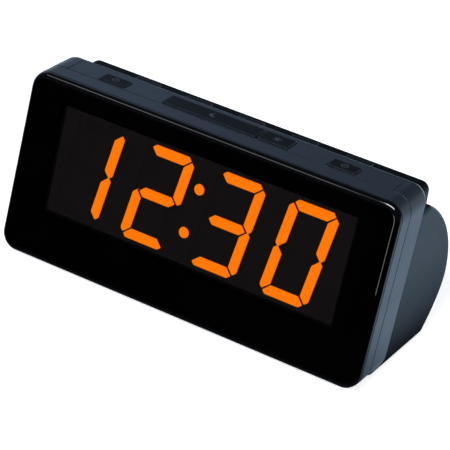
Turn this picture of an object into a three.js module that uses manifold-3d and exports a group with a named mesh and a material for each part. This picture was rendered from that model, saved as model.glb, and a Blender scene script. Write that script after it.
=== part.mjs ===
// Bedside clock radio with a leaning display, a row of keys on the top deck, a second row of keys
// on a lower rear deck, and a drum-shaped rear housing that holds the loudspeaker.
//
// Frame: millimetres, +X to the right as seen by the reader of the display, +Y to the back, +Z up.
// The origin is on the table, under the middle of the footprint.

import * as THREE from 'three';
import { mergeVertices } from 'three/addons/utils/BufferGeometryUtils.js';
import Module from 'manifold-3d';

const wasm = await Module();
wasm.setup();

// ---------------------------------------------------------------- driving dimensions

const WIDTH = 186.4;                 // across the front slab
const DECK_Z = 85.3;                 // top deck above the table
const BASE_Z = 1.0;                  // underside of the case, on its rubber feet
const LEAN = THREE.MathUtils.degToRad(10.3);  // the display leans back by this much
const FACE_Y = -33.18;               // front of the lens at the height of the window's centre
const WINDOW_Z = 49.4;               // height of the window's centre
const SLAB_CORNER = 8.0;             // corner radius of the slab, seen from the front

const WALL = 2.2;                    // case walls
const GAP = 0.3;                     // between neighbouring pieces
const PAST = 1.0;                    // cutters run past the surface they cut by this much

// Layers of the slab, as depths behind the front of the lens and square to it
const LENS_BACK = 2.2;
const LENS_EDGE_DEPTH = 1.8;         // the rounded front edge, measured from the front
const LENS_EDGE_REACH = 2.8;         // and measured in from the side
const PARTING = 10.2;
const SLAB_BACK = 26.2;
const SLAB_BACK_ROUND = 3.0;

const BULKHEAD = 1.5;                // thickness of the wall behind the lens
const LENS_MARGIN = 0.2;             // the lens is this much smaller than the slab all round

// Rear body
const DRUM_HALF_WIDTH = 91.3;
const DRUM_END_ROUND = 2.0;
const DRUM_TOP_Y = 9.3;              // a point on the drum's straight upper slope
const DRUM_TOP_Z = 71.7;
const DRUM_BACK_Y = 41.45;
const DRUM_BACK_Z = 27.9;            // height at which the drum reaches furthest back
const BASE_BACK_Y = 24.8;            // where the drum meets the flat base
const SHOULDER_HALF_WIDTH = 87.0;    // the block behind the slab that carries the rear keys
const SHOULDER_Y = 14.3;
const SHOULDER_ROUND = 1.8;          // along its back edges
const SHOULDER_CORNER = 4.0;         // its upper corners, seen from the back
const REAR_DECK_Z = 79.7;

// Keys
const KEY_PROUD = 0.5;
const KEY_FRONT_Y = -14.8;           // front edge of every key in the front row
const KEY_CORNER = 0.9;              // corner radius seen from above
const KEY_EDGE = 0.4;                // step around the top of a key
const KEY_STEM_RADIUS = 1.5;
const KEY_STEM_END_Z = 74.9;
const FLANGE = 0.9;                  // how far a key's retaining flange stands out
const FRONT_FLANGE_THICKNESS = 1.4;
const REAR_FLANGE_THICKNESS = 1.0;
const KEY_SOCKET_CORNER = 1.0;       // corner radius of the openings that the keys stand in
const SWITCH_SIZE = 6.0;
const REAR_KEY_PITCH = 27.2;
const REAR_KEY_WIDTH = 13.0;
const REAR_KEY_DEPTH = 7.0;
const REAR_KEY_Y = 7.0;              // middle of the rear row

// The two middle keys share an opening and have no flange between them
const FRONT_KEYS = [
  { name: 'alarm_one_key', from: -66.4, to: -52.8, depth: 7.3, leftFlange: FLANGE, rightFlange: FLANGE },
  { name: 'snooze_key', from: -33.1, to: 15.0, depth: 9.5, leftFlange: FLANGE, rightFlange: 0 },
  { name: 'dimmer_key', from: 15.5, to: 30.7, depth: 9.5, leftFlange: 0, rightFlange: FLANGE },
  { name: 'alarm_two_key', from: 50.1, to: 63.9, depth: 7.3, leftFlange: FLANGE, rightFlange: FLANGE },
];
const FRONT_OPENINGS = [
  { from: -66.4, to: -52.8, depth: 7.3 },
  { from: -33.1, to: 30.7, depth: 9.5 },
  { from: 50.1, to: 63.9, depth: 7.3 },
];

// Button panel, the insert in the top deck that carries the front row
const PANEL_HALF_WIDTH = 82.3;
const PANEL_BACK_Y = -3.1;
const PANEL_THICKNESS = 1.5;
const LEDGE_HALF_WIDTH = 86.0;       // the ledge in the rear cabinet that holds the panel

// Display digits
const DIGIT_HEIGHT = 45.7;
const DIGIT_WIDTH = 24.1;
const DIGIT_PITCH = 35.95;
const STROKE = 4.7;
const STROKE_GAP = 0.45;             // between one segment's end and the next
const TIP_SHIFT = 0.8;               // a segment's tips stand this far outside its centre line
const SLANT = Math.tan(THREE.MathUtils.degToRad(7.4));
const DIGIT_BLOCK_X = -2.55;         // middle of the digits, across and above the window's middle
const DIGIT_BLOCK_Z = -0.15;
const COLON_RADIUS = 2.5;
const COLON_RISE = 10.55;
const SHOWN_TIME = ['bc', 'abged', 'abgcd', 'abcdef'];  // the lit segments: 12:30

// Display stack, as depths behind the front of the lens
const REFLECTOR_FRONT = LENS_BACK + GAP;
const REFLECTOR_BACK = 7.6;
const GUIDE_BACK = 8.7;
const DISPLAY_BOARD_BACK = 10.5;
const REFLECTOR_WIDTH = 152.0;
const REFLECTOR_HEIGHT = 55.0;

// Boards
const BOARD = 1.5;                   // thickness of the circuit boards
const KEY_BOARD_TOP_Z = 71.2;
const MAIN_BOARD_TOP_Z = 9.4;

// Loudspeaker, facing back
const SPEAKER_RADIUS = 25.0;
const SPEAKER_Y = 25.6;              // plane of its mounting rim
const SPEAKER_Z = 30.5;
const COLLAR_WALL = 2.4;
const SLOT_PITCH = 4.0;
const SLOT_HEIGHT = 1.7;

// Case screws, driven from the back into posts on the front cabinet
const SCREW_X = 82.5;
const SCREW_HEIGHTS = [12.0, 56.0];
const SCREW_SEAT_Y = 8.0;            // where the posts meet the towers of the rear cabinet
const SCREW_HEAD_RADIUS = 2.8;
const SCREW_SHANK_RADIUS = 1.5;
const POST_RADIUS = 4.0;
const TOWER_RADIUS = 5.2;
const TOWER_FLOOR = 2.4;             // under the screw's head

// Battery compartment in the base
const DOOR_X = -54.0;
const DOOR_Y = 2.0;
const DOOR_SIZE = 34.0;
const DOOR_THICKNESS = 1.8;
const CELL_RADIUS = 10.0;
const CELL_THICKNESS = 3.2;
const BATTERY_BOX_WALL = 1.4;
const BATTERY_BOX_TOP_Z = 12.4;

// Sockets and the hole for the aerial, in the lower back of the drum
const POWER_JACK = { x: 58.0, z: 14.5, radius: 4.2 };
const AUDIO_JACK = { x: 42.0, z: 14.5, radius: 3.0 };
const AERIAL = { x: -38.0, z: 12.5, radius: 1.0 };

const FOOT_X = 76.0;
const FOOT_FRONT_Y = -22.0;
const FOOT_BACK_Y = 18.0;
const FOOT_RADIUS = 4.5;
const FOOT_RECESS = 0.8;

const HALF_WIDTH = WIDTH / 2;
const LEAN_SLOPE = Math.tan(LEAN);
const LEAN_COS = Math.cos(LEAN);

// Where a layer of the leaning slab stands at a height
function layerY(depth, z) {
  return FACE_Y + depth / LEAN_COS + (z - WINDOW_Z) * LEAN_SLOPE;
}

// ---------------------------------------------------------------- solids

// Coordinates are rounded to a micron, so that faces meant to be level with each other are
function toSolid(geometry) {
  const bare = geometry.clone();
  bare.deleteAttribute('normal');
  bare.deleteAttribute('uv');
  const merged = mergeVertices(bare, 1e-4);
  const rounded = merged.attributes.position.array.map((value) => Math.round(value * 1000) / 1000);
  return new wasm.Manifold(new wasm.Mesh({
    numProp: 3,
    vertProperties: rounded,
    triVerts: new Uint32Array(merged.index.array),
  }));
}

function toGeometry(solid) {
  const mesh = solid.getMesh();
  const geometry = new THREE.BufferGeometry();
  geometry.setAttribute('position', new THREE.BufferAttribute(mesh.vertProperties, 3));
  geometry.setIndex(new THREE.BufferAttribute(mesh.triVerts, 1));
  geometry.computeVertexNormals();
  return geometry;
}

function joined(solids) {
  return solids.reduce((whole, solid) => whole.add(solid));
}

function cut(solid, cutters) {
  return cutters.reduce((rest, cutter) => rest.subtract(cutter), solid);
}

// A box given by its limits along each axis
function block(x0, x1, y0, y1, z0, z1) {
  const box = new THREE.BoxGeometry(x1 - x0, y1 - y0, z1 - z0);
  box.translate((x0 + x1) / 2, (y0 + y1) / 2, (z0 + z1) / 2);
  return toSolid(box);
}

// A cylinder along Y from y0 to y1
function rodY(radius, y0, y1, x, z, sides = 14) {
  const rod = new THREE.CylinderGeometry(radius, radius, y1 - y0, sides);
  rod.translate(x, (y0 + y1) / 2, z);
  return toSolid(rod);
}

// A cylinder along Z from z0 to z1
function rodZ(radius, z0, z1, x, y, sides = 16) {
  const rod = new THREE.CylinderGeometry(radius, radius, z1 - z0, sides);
  rod.rotateX(Math.PI / 2);
  rod.translate(x, y, (z0 + z1) / 2);
  return toSolid(rod);
}

// A body of revolution about +Y: the profile is [radius, y] pairs
function latheY(profile, x, y, z, sides = 32) {
  const points = profile.map(([radius, along]) => new THREE.Vector2(radius, along));
  const body = new THREE.LatheGeometry(points, sides);
  body.translate(x, y, z);
  return toSolid(body);
}

// A round wire along a curve
function wire(curve, radius, steps) {
  const section = new THREE.Shape().absarc(0, 0, radius, 0, 2 * Math.PI);
  return toSolid(new THREE.ExtrudeGeometry(section, {
    extrudePath: curve, steps, bevelEnabled: false, curveSegments: 3,
  }));
}

// ---------------------------------------------------------------- outlines

// A rectangle with rounded corners, given by its limits
function roundedRectangle(left, right, low, high, radius) {
  const shape = new THREE.Shape();
  shape.moveTo(left + radius, low);
  shape.lineTo(right - radius, low);
  shape.absarc(right - radius, low + radius, radius, -Math.PI / 2, 0);
  shape.lineTo(right, high - radius);
  shape.absarc(right - radius, high - radius, radius, 0, Math.PI / 2);
  shape.lineTo(left + radius, high);
  shape.absarc(left + radius, high - radius, radius, Math.PI / 2, Math.PI);
  shape.lineTo(left, low + radius);
  shape.absarc(left + radius, low + radius, radius, Math.PI, 1.5 * Math.PI);
  return shape;
}

// The slab's outline seen from the front, drawn in by a margin
function slabOutline(margin) {
  return roundedRectangle(
    -HALF_WIDTH + margin, HALF_WIDTH - margin, BASE_Z + margin, DECK_Z - margin,
    SLAB_CORNER - margin,
  );
}

// The drum's outline seen from the side: flat base, round back and sloping top
function drumOutline() {
  const inSlab = -20;
  const shape = new THREE.Shape();
  shape.moveTo(inSlab, BASE_Z);
  shape.lineTo(BASE_BACK_Y, BASE_Z);
  shape.bezierCurveTo(31.8, 7.0, DRUM_BACK_Y, 17.4, DRUM_BACK_Y, DRUM_BACK_Z);
  shape.bezierCurveTo(DRUM_BACK_Y, 45.9, 27.1, 62.5, DRUM_TOP_Y, DRUM_TOP_Z);
  shape.lineTo(inSlab, DRUM_TOP_Z);
  return shape;
}

// Moves every side of a closed outline inwards by a margin
function drawnIn(points, margin) {
  const count = points.length;
  return points.map((point, i) => {
    const before = point.clone().sub(points[(i + count - 1) % count]).normalize();
    const after = points[(i + 1) % count].clone().sub(point).normalize();
    const inward = new THREE.Vector2(-before.y - after.y, before.x + after.x).normalize();
    const squareness = inward.x * -after.y + inward.y * after.x;
    return point.clone().addScaledVector(inward, margin / squareness);
  });
}

function withoutRepeats(points) {
  return points.filter((point, i) => point.distanceTo(points[(i + 1) % points.length]) > 1e-3);
}

// ---------------------------------------------------------------- extrusions

// Turns an outline drawn in X and Z into a layer of the leaning slab, from one depth to another.
// The layer's faces are parallel to the display and its sides are level and upright. Its edges are
// rounded over this much of its depth and this far in from its sides.
function leaningLayer(shape, fromDepth, toDepth, round = 0, reach = round) {
  const thickness = (toDepth - fromDepth) / LEAN_COS;
  const layer = new THREE.ExtrudeGeometry(shape, {
    depth: thickness - 2 * round,
    curveSegments: 6,
    bevelEnabled: round > 0,
    bevelSize: reach,
    bevelThickness: round,
    bevelOffset: -reach,
    bevelSegments: 3,
  });
  layer.translate(0, -WINDOW_Z, round);
  layer.rotateX(Math.PI / 2);
  layer.applyMatrix4(new THREE.Matrix4().makeShear(0, 0, 0, 0, 0, LEAN_SLOPE));
  layer.translate(0, FACE_Y + toDepth / LEAN_COS, WINDOW_Z);
  return toSolid(layer);
}

// Extrudes an outline drawn in Y and Z across the width, centred on the middle plane
function acrossWidth(shape, halfWidth, round = 0, centreX = 0) {
  const body = new THREE.ExtrudeGeometry(shape, {
    depth: 2 * (halfWidth - round),
    curveSegments: 12,
    bevelEnabled: round > 0,
    bevelSize: round,
    bevelThickness: round,
    bevelOffset: -round,
    bevelSegments: 2,
  });
  body.translate(0, 0, round - halfWidth);
  body.applyMatrix4(new THREE.Matrix4().makeBasis(
    new THREE.Vector3(0, 1, 0), new THREE.Vector3(0, 0, 1), new THREE.Vector3(1, 0, 0),
  ));
  body.translate(centreX, 0, 0);
  return toSolid(body);
}

// Extrudes an outline drawn in X and Y upwards
function upwards(shape, z0, z1) {
  const body = new THREE.ExtrudeGeometry(shape, {
    depth: z1 - z0, bevelEnabled: false, curveSegments: 2,
  });
  body.translate(0, 0, z0);
  return toSolid(body);
}

// ---------------------------------------------------------------- scene graph

const clockRadio = new THREE.Group();

// Things that lean with the display: x to the right, y the depth behind the lens, z up the face
const leaning = new THREE.Group();
leaning.position.set(0, FACE_Y, WINDOW_Z);
leaning.rotation.x = -LEAN;
clockRadio.add(leaning);

function place(name, solid, material, parent = clockRadio) {
  const mesh = new THREE.Mesh(toGeometry(solid), material);
  mesh.name = name;
  parent.add(mesh);
}

function finish(color, roughness, metalness = 0) {
  return new THREE.MeshStandardMaterial({ color, roughness, metalness });
}

const glossBlack = finish(0x050506, 0.06);
const satinGrey = finish(0x2b2f36, 0.42);
const keyGrey = finish(0x24272c, 0.4);
const darkPlastic = finish(0x141416, 0.6);
const litOrange = new THREE.MeshStandardMaterial({ color: 0xff7a00, emissive: 0xff7a00, roughness: 0.5 });
const boardGreen = finish(0x1f5a34, 0.5);
const chipBlack = finish(0x18181a, 0.5);
const tinned = finish(0xb9bcc0, 0.3, 0.9);
const steel = finish(0x8e9196, 0.35, 0.9);
const ferrite = finish(0x3a3b3e, 0.5, 0.4);
const paper = finish(0x1b1b1d, 0.9);
const rubber = finish(0x101010, 0.9);
const redSleeve = finish(0xa01818, 0.5);
const blackSleeve = finish(0x0c0c0c, 0.5);
const ribbonGrey = finish(0x9a9ca0, 0.6);

// ---------------------------------------------------------------- front

// A black panel over the whole front, its front edge rounded over
function makeLens() {
  const rounded = leaningLayer(
    slabOutline(LENS_MARGIN), 0, 3 * LENS_BACK, LENS_EDGE_DEPTH, LENS_EDGE_REACH,
  );
  const everythingBehind = leaningLayer(slabOutline(-PAST), LENS_BACK, 4 * LENS_BACK);
  place('front_lens', rounded.subtract(everythingBehind), glossBlack);
}

// The display passes through this opening in the front cabinet
function displayOpening() {
  const hole = new THREE.BoxGeometry(
    REFLECTOR_WIDTH + 2 * GAP, 40, REFLECTOR_HEIGHT + 2 * GAP,
  );
  hole.rotateX(-LEAN);
  hole.translate(0, FACE_Y, WINDOW_Z);
  return toSolid(hole);
}

function screwPlaces() {
  return [-SCREW_X, SCREW_X].flatMap((x) => SCREW_HEIGHTS.map((z) => ({ x, z })));
}

// A post that takes a case screw, tied to the side wall by a rib
function screwPost({ x, z }) {
  const start = layerY(LENS_BACK + GAP + BULKHEAD / 2, z);
  const ribStart = start + 1;
  const ribEnd = ribStart + 6;
  const wallX = Math.sign(x) * (HALF_WIDTH - 1);
  const rib = block(Math.min(x, wallX), Math.max(x, wallX), ribStart, ribEnd, z - 0.8, z + 0.8);
  return rodY(POST_RADIUS, start, SCREW_SEAT_Y - GAP, x, z).add(rib);
}

function makeFrontCabinet() {
  const bulkheadBack = LENS_BACK + GAP + BULKHEAD;
  const body = leaningLayer(slabOutline(0), LENS_BACK + GAP, PARTING);
  const hollow = leaningLayer(slabOutline(WALL), bulkheadBack, PARTING + PAST);
  const shell = cut(body, [hollow, displayOpening()]);
  const boreDepth = 16;
  const bores = screwPlaces().map(({ x, z }) => (
    rodY(SCREW_SHANK_RADIUS + GAP, SCREW_SEAT_Y - boreDepth, SCREW_SEAT_Y + PAST, x, z)
  ));
  const posts = screwPlaces().map(screwPost);
  place('front_cabinet', cut(joined([shell, ...posts]), bores), satinGrey);
}

// ---------------------------------------------------------------- display module

// One segment of a digit: a bar with pointed ends, from one corner of the digit's frame to another.
// Outward is 1 or -1 for the side of the bar that faces out of the digit, or 0 for the middle bar.
function segmentOutline([fromX, fromZ, toX, toZ, outward], grow) {
  const start = new THREE.Vector2(fromX, fromZ);
  const end = new THREE.Vector2(toX, toZ);
  const along = end.clone().sub(start).normalize();
  const across = new THREE.Vector2(-along.y, along.x);
  const half = STROKE / 2 + grow;
  const tip = STROKE_GAP / Math.SQRT2 + STROKE_GAP / 2 - grow;
  const shift = TIP_SHIFT * Math.abs(outward);
  const lower = tip + half - (outward < 0 ? 2 * shift : 0);
  const upper = tip + half - (outward > 0 ? 2 * shift : 0);
  const corner = (origin, ahead, aside) => (
    origin.clone().addScaledVector(along, ahead).addScaledVector(across, aside)
  );
  return [
    corner(start, tip - shift, outward * TIP_SHIFT), corner(start, lower, -half), corner(end, -lower, -half),
    corner(end, shift - tip, outward * TIP_SHIFT), corner(end, -upper, half), corner(start, upper, half),
  ];
}

// The seven bars of a digit as pairs of corners of the strokes' centre lines, and the outward side
function segmentEnds(letter) {
  const x = (DIGIT_WIDTH - STROKE) / 2;
  const z = (DIGIT_HEIGHT - STROKE) / 2;
  return {
    a: [-x, z, x, z, 1],
    b: [x, 0, x, z, -1],
    c: [x, -z, x, 0, -1],
    d: [-x, -z, x, -z, -1],
    e: [-x, -z, -x, 0, 1],
    f: [-x, 0, -x, z, 1],
    g: [-x, 0, x, 0, 0],
  }[letter];
}

// A slanted prism from an upright outline drawn in X and Z, in the leaning group
function displayPrism(points, centreX, fromDepth, toDepth) {
  const slanted = points.map(({ x, y }) => (
    new THREE.Vector2(centreX + x + SLANT * y, DIGIT_BLOCK_Z + y)
  ));
  const prism = new THREE.ExtrudeGeometry(new THREE.Shape(slanted), {
    depth: toDepth - fromDepth, bevelEnabled: false,
  });
  prism.rotateX(Math.PI / 2);
  prism.translate(0, toDepth, 0);
  return toSolid(prism);
}

function digitCentre(index) {
  return DIGIT_BLOCK_X + (index - 1.5) * DIGIT_PITCH;
}

function colonDots(grow, fromDepth, toDepth) {
  const middle = (digitCentre(1) + digitCentre(2)) / 2;
  return [-1, 1].map((side) => {
    const z = side * COLON_RISE;
    return rodY(COLON_RADIUS + grow, fromDepth, toDepth, middle + SLANT * z, DIGIT_BLOCK_Z + z, 16);
  });
}

function litSegments(grow, fromDepth, toDepth) {
  const bars = SHOWN_TIME.flatMap((letters, index) => [...letters].map((letter) => (
    displayPrism(segmentOutline(segmentEnds(letter), grow), digitCentre(index), fromDepth, toDepth)
  )));
  return [...bars, ...colonDots(grow, fromDepth, toDepth)];
}

// Cavities of the segments that are off while this time is shown
function unlitSegments(fromDepth, toDepth) {
  return SHOWN_TIME.flatMap((letters, index) => [...'abcdefg']
    .filter((letter) => !letters.includes(letter))
    .map((letter) => displayPrism(
      segmentOutline(segmentEnds(letter), 0), digitCentre(index), fromDepth, toDepth,
    )));
}

function makeDisplay() {
  const halfWidth = REFLECTOR_WIDTH / 2;
  const halfHeight = REFLECTOR_HEIGHT / 2;
  const wellClearance = 0.15;
  const unlitDepth = 1.5;
  const reflector = cut(
    block(-halfWidth, halfWidth, REFLECTOR_FRONT, REFLECTOR_BACK, -halfHeight, halfHeight),
    [
      ...litSegments(wellClearance, REFLECTOR_FRONT - PAST, REFLECTOR_BACK + PAST),
      ...unlitSegments(REFLECTOR_FRONT - PAST, REFLECTOR_FRONT + unlitDepth),
    ],
  );
  place('display_reflector', reflector, darkPlastic, leaning);

  // Light guide: a plate with a bar of diffuser for each lit segment
  const guideFront = REFLECTOR_BACK + GAP;
  const guideMargin = 2;
  const plate = block(
    -halfWidth + guideMargin, halfWidth - guideMargin, guideFront, GUIDE_BACK,
    -halfHeight + guideMargin, halfHeight - guideMargin,
  );
  const bars = litSegments(0, REFLECTOR_FRONT + 0.05, guideFront + 0.2);
  place('display_light_guide', joined([plate, ...bars]), litOrange, leaning);

  const boardFront = GUIDE_BACK + GAP;
  const board = block(-halfWidth, halfWidth, boardFront, DISPLAY_BOARD_BACK, -halfHeight, halfHeight);
  place('display_board', board, boardGreen, leaning);
  const chipFront = DISPLAY_BOARD_BACK + GAP;
  place('display_driver_chip', block(-46, -28, chipFront, chipFront + 2.2, -14, -4), chipBlack, leaning);
}

// ---------------------------------------------------------------- keys

// A key's outline seen from above, drawn in by a margin
function keyOutline(x0, x1, y0, y1, inset) {
  return roundedRectangle(x0 + inset, x1 - inset, y0 + inset, y1 - inset, KEY_CORNER - inset);
}

function keyCap(x0, x1, y0, y1, topZ, bottomZ) {
  const body = upwards(keyOutline(x0, x1, y0, y1, 0), bottomZ, topZ - KEY_EDGE);
  const crown = upwards(keyOutline(x0, x1, y0, y1, KEY_EDGE), topZ - 2 * KEY_EDGE, topZ);
  return body.add(crown);
}

function keyStem(x, y, topZ) {
  return rodZ(KEY_STEM_RADIUS, KEY_STEM_END_Z, topZ, x, y, 12);
}

// The hole around a key
function keySocket(x0, x1, y0, y1, z0, z1) {
  return upwards(roundedRectangle(x0 - GAP, x1 + GAP, y0 - GAP, y1 + GAP, KEY_SOCKET_CORNER), z0, z1);
}

const PANEL_BOTTOM_Z = DECK_Z - PANEL_THICKNESS;
const FRONT_FLANGE_BOTTOM_Z = PANEL_BOTTOM_Z - GAP - FRONT_FLANGE_THICKNESS;

function makeFrontKeys() {
  for (const { name, from, to, depth, leftFlange, rightFlange } of FRONT_KEYS) {
    const back = KEY_FRONT_Y + depth;
    const cap = keyCap(from, to, KEY_FRONT_Y, back, DECK_Z + KEY_PROUD, FRONT_FLANGE_BOTTOM_Z);
    const flange = block(
      from - leftFlange, to + rightFlange, KEY_FRONT_Y, back + FLANGE,
      FRONT_FLANGE_BOTTOM_Z, PANEL_BOTTOM_Z - GAP,
    );
    const stem = keyStem((from + to) / 2, KEY_FRONT_Y + depth / 2, FRONT_FLANGE_BOTTOM_Z + 0.5);
    place(name, joined([cap, flange, stem]), keyGrey);
  }
}

function rearKeyCentres() {
  return [-2, -1, 0, 1, 2].map((step) => step * REAR_KEY_PITCH);
}

const REAR_FLANGE_TOP_Z = REAR_DECK_Z - WALL - GAP;
const REAR_KEY_FRONT_Y = REAR_KEY_Y - REAR_KEY_DEPTH / 2;
const REAR_KEY_BACK_Y = REAR_KEY_Y + REAR_KEY_DEPTH / 2;

function makeRearKeys() {
  const flangeBottom = REAR_FLANGE_TOP_Z - REAR_FLANGE_THICKNESS;
  rearKeyCentres().forEach((x, i) => {
    const left = x - REAR_KEY_WIDTH / 2;
    const right = x + REAR_KEY_WIDTH / 2;
    const top = REAR_DECK_Z + KEY_PROUD;
    const cap = keyCap(left, right, REAR_KEY_FRONT_Y, REAR_KEY_BACK_Y, top, flangeBottom);
    const flange = block(
      left - FLANGE, right + FLANGE, REAR_KEY_FRONT_Y - FLANGE, REAR_KEY_BACK_Y,
      flangeBottom, REAR_FLANGE_TOP_Z,
    );
    const stem = keyStem(x, REAR_KEY_Y, flangeBottom + 0.5);
    place(`rear_key_${i + 1}`, joined([cap, flange, stem]), keyGrey);
  });
}

function keyPlaces() {
  const front = FRONT_KEYS.map(({ from, to, depth }) => (
    { x: (from + to) / 2, y: KEY_FRONT_Y + depth / 2 }
  ));
  const rear = rearKeyCentres().map((x) => ({ x, y: REAR_KEY_Y }));
  return [...front, ...rear];
}

// A push switch under each key, on one board; the key's stem dips into the switch
function makeKeySwitches() {
  const half = SWITCH_SIZE / 2;
  const bottom = KEY_BOARD_TOP_Z + GAP;
  const top = KEY_STEM_END_Z + 0.4;
  const wellDepth = 1.6;
  keyPlaces().forEach(({ x, y }, i) => {
    const housing = block(x - half, x + half, y - half, y + half, bottom, top);
    const well = rodZ(KEY_STEM_RADIUS + GAP, top - wellDepth, top + PAST, x, y, 12);
    place(`key_switch_${i + 1}`, housing.subtract(well), chipBlack);
  });
  const board = block(-72, 72, -14.5, 10.7, KEY_BOARD_TOP_Z - BOARD, KEY_BOARD_TOP_Z);
  place('key_board', board, boardGreen);
}

function makeButtonPanel() {
  const front = layerY(PARTING, DECK_Z) + GAP;
  const plate = block(-PANEL_HALF_WIDTH, PANEL_HALF_WIDTH, front, PANEL_BACK_Y, PANEL_BOTTOM_Z, DECK_Z);
  const sockets = FRONT_OPENINGS.map(({ from, to, depth }) => (
    keySocket(from, to, KEY_FRONT_Y, KEY_FRONT_Y + depth, PANEL_BOTTOM_Z - PAST, DECK_Z + PAST)
  ));
  place('button_panel', cut(plate, sockets), satinGrey);
}

// ---------------------------------------------------------------- rear cabinet

// Slots across the loudspeaker, their ends on a circle
function grilleSlots() {
  const reach = SPEAKER_RADIUS - 3;
  const start = SPEAKER_Y + 2;
  const length = 30;
  return [-5, -4, -3, -2, -1, 0, 1, 2, 3, 4, 5].map((step) => {
    const rise = step * SLOT_PITCH;
    const half = Math.sqrt(reach * reach - rise * rise);
    const bottom = SPEAKER_Z + rise - SLOT_HEIGHT / 2;
    const outline = roundedRectangle(-half, half, bottom, bottom + SLOT_HEIGHT, 0.8);
    const slot = new THREE.ExtrudeGeometry(outline, {
      depth: length, bevelEnabled: false, curveSegments: 1,
    });
    slot.rotateX(Math.PI / 2);
    slot.translate(0, start + length, 0);
    return toSolid(slot);
  });
}

function drum(margin) {
  const points = withoutRepeats(drumOutline().getPoints(9));
  const outline = new THREE.Shape(margin > 0 ? drawnIn(points, margin) : points);
  return acrossWidth(outline, DRUM_HALF_WIDTH - margin, margin > 0 ? 0 : DRUM_END_ROUND);
}

// A block with rounded back edges and upper corners, sunk into the slab and the drum
function shoulder() {
  const front = -18;
  const inDrum = 50;
  const outline = roundedRectangle(
    -SHOULDER_HALF_WIDTH, SHOULDER_HALF_WIDTH, inDrum, REAR_DECK_Z, SHOULDER_CORNER,
  );
  const body = new THREE.ExtrudeGeometry(outline, {
    depth: SHOULDER_Y - front - 2 * SHOULDER_ROUND,
    curveSegments: 6,
    bevelEnabled: true,
    bevelSize: SHOULDER_ROUND,
    bevelThickness: SHOULDER_ROUND,
    bevelOffset: -SHOULDER_ROUND,
    bevelSegments: 3,
  });
  body.rotateX(Math.PI / 2);
  body.translate(0, SHOULDER_Y - SHOULDER_ROUND, 0);
  return toSolid(body);
}

function shoulderHollow() {
  const half = SHOULDER_HALF_WIDTH - WALL;
  return block(-half, half, -16, SHOULDER_Y - WALL, 52, REAR_DECK_Z - WALL);
}

// A square box over the battery door, this much larger than the door all round
function overDoor(margin, z0, z1) {
  const half = DOOR_SIZE / 2 + margin;
  return block(DOOR_X - half, DOOR_X + half, DOOR_Y - half, DOOR_Y + half, z0, z1);
}

function footPlaces() {
  return [-FOOT_X, FOOT_X].flatMap((x) => [FOOT_FRONT_Y, FOOT_BACK_Y].map((y) => ({ x, y })));
}

// Collar that the loudspeaker drops into, and towers that the case screws stand in
function cabinetFittings() {
  const behindEverything = 50;
  const collar = rodY(SPEAKER_RADIUS + COLLAR_WALL, SPEAKER_Y - 3, behindEverything, 0, SPEAKER_Z, 28);
  const seat = rodY(SPEAKER_RADIUS + GAP, SPEAKER_Y - 4, SPEAKER_Y + GAP, 0, SPEAKER_Z, 28);
  const soundWay = rodY(SPEAKER_RADIUS - 1.5, SPEAKER_Y, behindEverything, 0, SPEAKER_Z, 28);
  const towers = screwPlaces().map(({ x, z }) => (
    rodY(TOWER_RADIUS, SCREW_SEAT_Y, behindEverything, x, z)
  ));
  return cut(joined([collar, ...towers]), [seat, soundWay]);
}

// Holes for the screws, from the back
function screwWays() {
  return screwPlaces().flatMap(({ x, z }) => [
    rodY(SCREW_HEAD_RADIUS + 2 * GAP, SCREW_SEAT_Y + TOWER_FLOOR, 60, x, z),
    rodY(SCREW_SHANK_RADIUS + GAP, SCREW_SEAT_Y - PAST, SCREW_SEAT_Y + TOWER_FLOOR + PAST, x, z),
  ]);
}

// Room under the button panel for the flanges of the keys
function flangeRooms() {
  return FRONT_OPENINGS.map(({ from, to, depth }) => block(
    from - FLANGE - 0.5, to + FLANGE + 0.5, -30, KEY_FRONT_Y + depth + FLANGE + 0.5,
    FRONT_FLANGE_BOTTOM_Z - PAST, DECK_Z,
  ));
}

function backHoles() {
  const jackHoles = [POWER_JACK, AUDIO_JACK].map(({ x, z, radius }) => (
    rodY(radius + GAP, 28, 50, x, z, 16)
  ));
  const aerialHole = rodY(AERIAL.radius + 0.6, 20, 50, AERIAL.x, AERIAL.z, 12);
  return [...jackHoles, aerialHole];
}

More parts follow.
